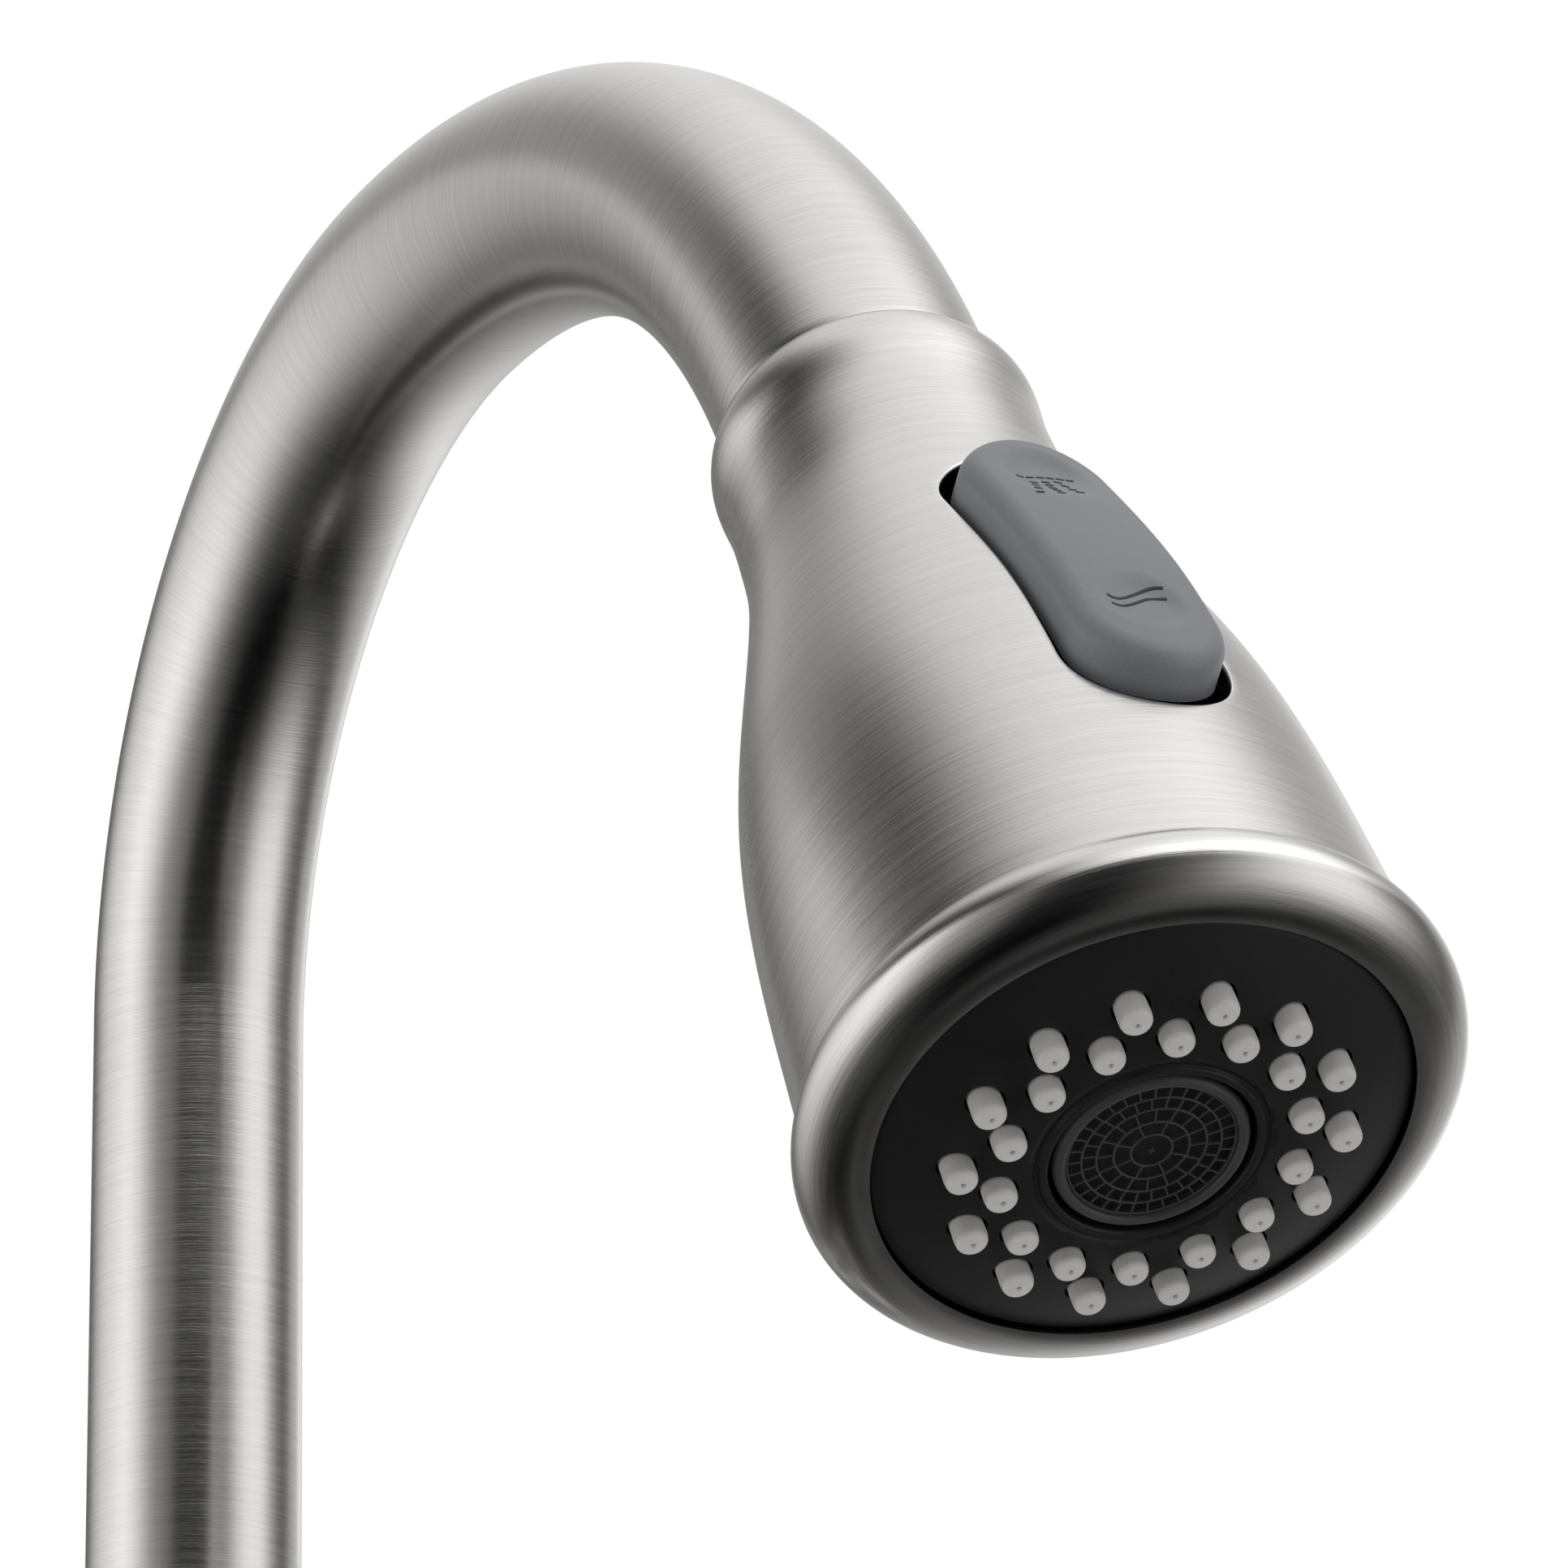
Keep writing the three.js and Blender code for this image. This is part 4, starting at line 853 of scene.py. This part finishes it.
def lever():
    """The lever: a turned hub, and a blade whose section is a flattened oval,
    (w |cos v|^0.75, t |sin v|^0.75) with the signs kept, carried up a leaning line."""
    angles = np.radians(np.linspace(62, 0, 20))
    r = HUB_R + HUB_WALL - HUB_TAPER * angles / math.radians(62)
    crown = np.stack([r * np.sin(angles), PIVOT + r * np.cos(angles)], -1)
    hub = np.concatenate([
        crown[:-3], [(3.9, crown[-3, 1]), (3.8, STEM_END + 0.2), (0, STEM_END + 0.2), (0, PIVOT + HUB_R)],
        sphere_cap(HUB_R, 6, 62, 16), crown[:1],
    ])
    handle = Piece().grid(VALVE, turned(eased(hub, 0.5), 112))
    u = np.linspace(0, 1, 90)
    up = 13 + (LEVER_LEN + 2 - 13) * u
    mid = np.interp(up, [13, 20, 42, 99], [53, 53.0, 53.8, 63.4])
    mid = np.convolve(np.pad(mid, 8, mode="edge"), np.ones(17) / 17, "valid")
    thick = np.interp(up, [13, 42, 100], [3.9, 3.6, 2.2])
    wide = np.interp(up, [13, 45, 90], [8.4, 6.4, 9.3])
    tip = np.sqrt(np.clip(1 - np.clip((up - 91) / 9.0, 0, 1) ** 2, 0, 1))
    v = np.linspace(0, 2 * math.pi, 72, endpoint=False)
    across = np.sign(np.cos(v)) * np.abs(np.cos(v)) ** 0.75
    out = np.sign(np.sin(v)) * np.abs(np.sin(v)) ** 0.75
    blade = np.stack([
        -up[:, None] + 0 * v, (wide * tip)[:, None] * across,
        mid[:, None] + (thick * tip**0.6)[:, None] * out,
    ], -1)
    first = blade[:1] * np.array([1, 0, 0]) + np.array([0, 0, 53.0])
    brush = np.concatenate([first, blade])
    brush = np.stack([brush[..., 2], brush[..., 1], brush[..., 0]], -1)
    handle.grid(VALVE, np.concatenate([first, blade]), brush)
    handle.make("lever", "lever", NICKEL, "brushed_nickel", "lever_handle")
    half = np.linspace(0, math.pi, 33)
    for name, flip, material in (("hot_index", 1, RED), ("cold_index", -1, BLUE)):
        rim = np.concatenate([np.stack([np.cos(half), flip * np.sin(half)], -1), [(1, 0)]])
        levels = ((3.5, 59.2), (3.5, 59.8), (3.2, 60.1), (0.0, 60.15))
        low = [np.column_stack([rim * 0, np.full(len(rim), 59.2)])]
        rows = low + [np.column_stack([rim * r, np.full(len(rim), z)]) for r, z in levels]
        badge = Piece().grid(VALVE, np.array(rows))
        badge.make(name, "lever", material, "index_enamel", *(["index_button"] if flip > 0 else []))


def shank():
    """The threaded shank: its radius is R - depth * |2 frac(z / pitch - a / 2 pi) - 1| below the
    deck, a ridge that climbs one pitch in a turn."""
    pitch, depth = 2.0, 0.9
    a = np.linspace(0, 2 * math.pi, 72, endpoint=False)
    z = np.arange(SHANK_END + 0.8, -1.0, pitch / 8)[:, None]
    phase = (z / pitch - a / (2 * math.pi)) % 1
    r = SHANK_R - depth * np.abs(2 * phase - 1)
    thread = np.stack([r * np.cos(a), r * np.sin(a), z + 0 * a], -1)
    foot = turned([(14, SHANK_END), (SHANK_R - 1.0, SHANK_END)], 72)
    top = turned([(SHANK_R, -0.6), (SHANK_R, 9), (15.6, 9), (15.6, 21.8), (14, 21.8)], 72)
    piece = Piece().grid(DECK, np.concatenate([foot, thread, top]), wrap_rows=True)
    piece.make("shank", "body", BRASS, "brass", "mounting_shank", crease=50)


def rounded_box(size, at, place, power=6.0, rows=17, columns=48):
    """A soft-edged block: the superellipsoid |x|^p + |y|^p + |z|^p = 1, scaled to size."""
    u = np.linspace(-math.pi / 2, math.pi / 2, rows)[:, None]
    v = np.linspace(0, 2 * math.pi, columns, endpoint=False)
    ray = np.stack([np.cos(u) * np.cos(v), np.cos(u) * np.sin(v), np.sin(u) + 0 * v], -1)
    ray /= (np.abs(ray) ** power).sum(-1, keepdims=True) ** (1 / power)
    return place(np.array(at) + ray * np.array(size) / 2), grid_faces(rows, columns)


def deck_nut():
    """The winged nut under the deck, with its two clamp screws."""
    top = -DECK_T - 5.1
    low = top - 13
    profile = eased([(17, low), (22, low), (22, top), (17, top), (17, low)], 0.8)
    nut = Piece().grid(DECK, turned(profile, 96))
    for i in range(4):
        wing = Place(turn_z(math.radians(45 + 90 * i)), (0, 0, 0))
        nut.add(*rounded_box((9.6, 5, 13), (25.0, 0, top - 6.5), wing))
    nut.make("deck_nut", "body", BLACK, "black_plastic", "mounting_nut")
    head = eased([
        (0, low - 1.8), (0.7, low - 1.8), (0.7, low - 3.2), (2.6, low - 3.2), (2.6, low - 0.3),
        (1.4, low - 0.3), (1.4, top), (0, top),
    ], 0.25)
    for i, y in enumerate((-19.6, 19.6)):
        screw = Piece().grid(Place(np.eye(3), (0, y, 0)), turned(head, 32))
        screw.make(f"clamp_screw_{i + 1}", "body", STAINLESS, "stainless", f"nut_screw_{i + 1}")


def hose():
    """The braided hose: a circle carried along its line. The part inside the spout's end is
    straight on the head's axis, its weave scaled by PULL over its length; the rest is below the deck."""
    sides = 48

    def tube(name, place, profile, *nodes, stretch=1.0):
        piece = Piece().grid(place, turned(profile, sides))
        rows = len(profile)
        z = np.asarray(profile)[:, 1] * 0.001 * stretch
        i, j = np.meshgrid(np.arange(rows - 1), np.arange(sides), indexing="ij")
        turn = 2 * math.pi / sides
        along = np.stack([z[i], z[i + 1], z[i + 1], z[i]], -1)
        around = np.stack([j, j, j + 1, j + 1], -1) * turn
        weave = np.stack([around, along, 0 * along], -1)
        return piece.make(name, None, BRAID, "hose_braid", *nodes, weave=weave)

    low = np.linspace(HOSE_END, HOSE_BREAK, 66)
    profile = [(0, HOSE_END), *[(HOSE_R, z) for z in low], (0, HOSE_BREAK)]
    tail = tube("hose_tail", DECK, profile, "pull_hose")
    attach(tail, "spout")
    run = np.linspace(RUN_START, RUN_END, 25)
    profile = [(0, RUN_START), *[(HOSE_R, z) for z in run], (0, RUN_END)]
    place = Place(turn_x(ARC_END - math.pi), SEAM_POINT)
    drawn = tube("hose_run", place, profile, stretch=PULL / (RUN_END - RUN_START))
    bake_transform(drawn)


def finish_hidden_nodes():
    """Every CAD node that still shows takes its finish."""
    finishes = {
        BRASS: ["valve_manifold", "retaining_nut"],
        STAINLESS: ["spout_screw", "stem_pin", "lever_stem", "handle_screw", "inlet_screen",
                    "check_spring", "rocker_pin"],
        RUBBER: ["cartridge_seal", "lower_o_ring", "upper_o_ring", "hose_washer", "aerator_seal"],
        BLACK: ["cartridge_housing", "waterway_core", "spray_cone", "rocker_seat"],
        WHITE: ["cartridge_carrier", "lower_bush", "upper_bush", "check_valve", "aerator_core",
                "diverter_spool", "check_poppet"],
        CERAMIC: ["fixed_disc", "moving_disc"],
    }
    for material, names in finishes.items():
        for name in names:
            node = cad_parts[name]
            node.data.materials.clear()
            node.data.materials.append(material)


# ---- Studio ----
def studio():
    """A light tent: a tall soft box to either side, a dark doorway where the camera stands, a
    pale roof, and a shaded floor side. The sight line itself sees plain white."""
    world = bpy.data.worlds.new("studio")
    bpy.context.scene.world = world
    f = Finish("studio", world)
    at = f.node("SeparateXYZ", {}, {0: f.node("TexCoord").outputs["Generated"]})
    x, y, z = (Sum(f, at.outputs[k]) for k in range(3))
    across = x * math.cos(CAMERA_TURN) + y * math.sin(CAMERA_TURN)
    back = x * math.sin(CAMERA_TURN) - y * math.cos(CAMERA_TURN)
    turn = across.math("ARCTAN2", back) * math.degrees(1)
    rise = z.math("ARCSINE") * math.degrees(1)
    degrees = lambda stops: [((d + 180) / 360, v) for d, v in stops]
    heights = lambda stops: [((d + 90) / 180, v) for d, v in stops]
    turn_at, rise_at = (turn + 180) / 360, (rise + 90) / 180
    walls = f.curve(turn_at, degrees((
        (-180, 0.5), (-165, 0.16), (-150, 0.13), (-140, 0.25), (-130, 0.5), (-112, 0.85), (-98, 1.0),
        (-75, 1.3), (-60, 1.0), (-50, 0.66), (-40, 0.36), (-30, 0.25), (-22, 0.18), (-13, 0.02),
        (14, 0.01), (24, 0.05), (35, 0.15), (44, 0.4), (52, 0.75), (64, 1.1), (82, 1.1), (94, 0.5),
        (104, 0.22), (113, 0.12), (121, 0.16), (130, 0.45), (145, 0.6), (160, 1.1), (180, 0.5),
    )), 2.0)
    fall = f.curve(rise_at, heights((
        (-90, 0.04), (-62, 0.06), (-50, 0.17), (-40, 0.36), (-30, 0.62), (-18, 0.88), (-5, 1.0), (90, 1.0),
    )))
    roof = f.curve(turn_at, degrees((
        (-180, 0.9), (-158, 0.65), (-138, 0.36), (-120, 0.3), (-105, 0.17), (-92, 0.06), (-72, 0.02),
        (-45, 0.02), (-32, 0.1), (-20, 0.4), (-5, 0.95), (18, 1.6), (50, 1.95), (85, 1.7), (104, 1.0),
        (120, 0.5), (138, 0.42), (158, 0.6), (180, 0.9),
    )), 2.0)
    high = f.step(rise, 43, 72)
    up = f.step(rise, 25, 34)
    light = walls * fall * (1 - up) + (roof * (1 - high) + high * (1.0 + across * 0.5)) * up
    seen = Sum(f, f.node("LightPath").outputs["Is Camera Ray"])
    strength = seen * 1.0 + (1 - seen) * light
    glow = f.node("Background", {}, {"Color": (1, 1, 1, 1), "Strength": strength})
    f.node("OutputWorld", {}, {"Surface": glow.outputs[0]})

    floor = Finish("floor")
    cloud = floor.noise((3, 3, 3), 3)
    pale = floor.tint(cloud, (0.78, 0.78, 0.77), (0.82, 0.82, 0.81))
    floor_paint = floor.shade(Base_Color=pale, Roughness=0.8)
    mesh = bpy.data.meshes.new("floor")
    size, level = 3.0, cad_box[0].z - 0.001
    corners = [(-size, -size, level), (size, -size, level), (size, size, level), (-size, size, level)]
    mesh.from_pydata(corners, [], [(0, 1, 2, 3)])
    mesh.materials.append(floor_paint)
    ground = bpy.data.objects.new("floor", mesh)
    bpy.context.scene.collection.objects.link(ground)
    ground.visible_glossy = False
    bpy.context.scene.view_settings.view_transform = "Standard"


add_camera()
studio()
gooseneck()
spray_bell()
rocker()
rocker_marks()
face()
nozzles()
outlet()
turned_pieces()
column()
lever()
shank()
deck_nut()
hose()
finish_hidden_nodes()
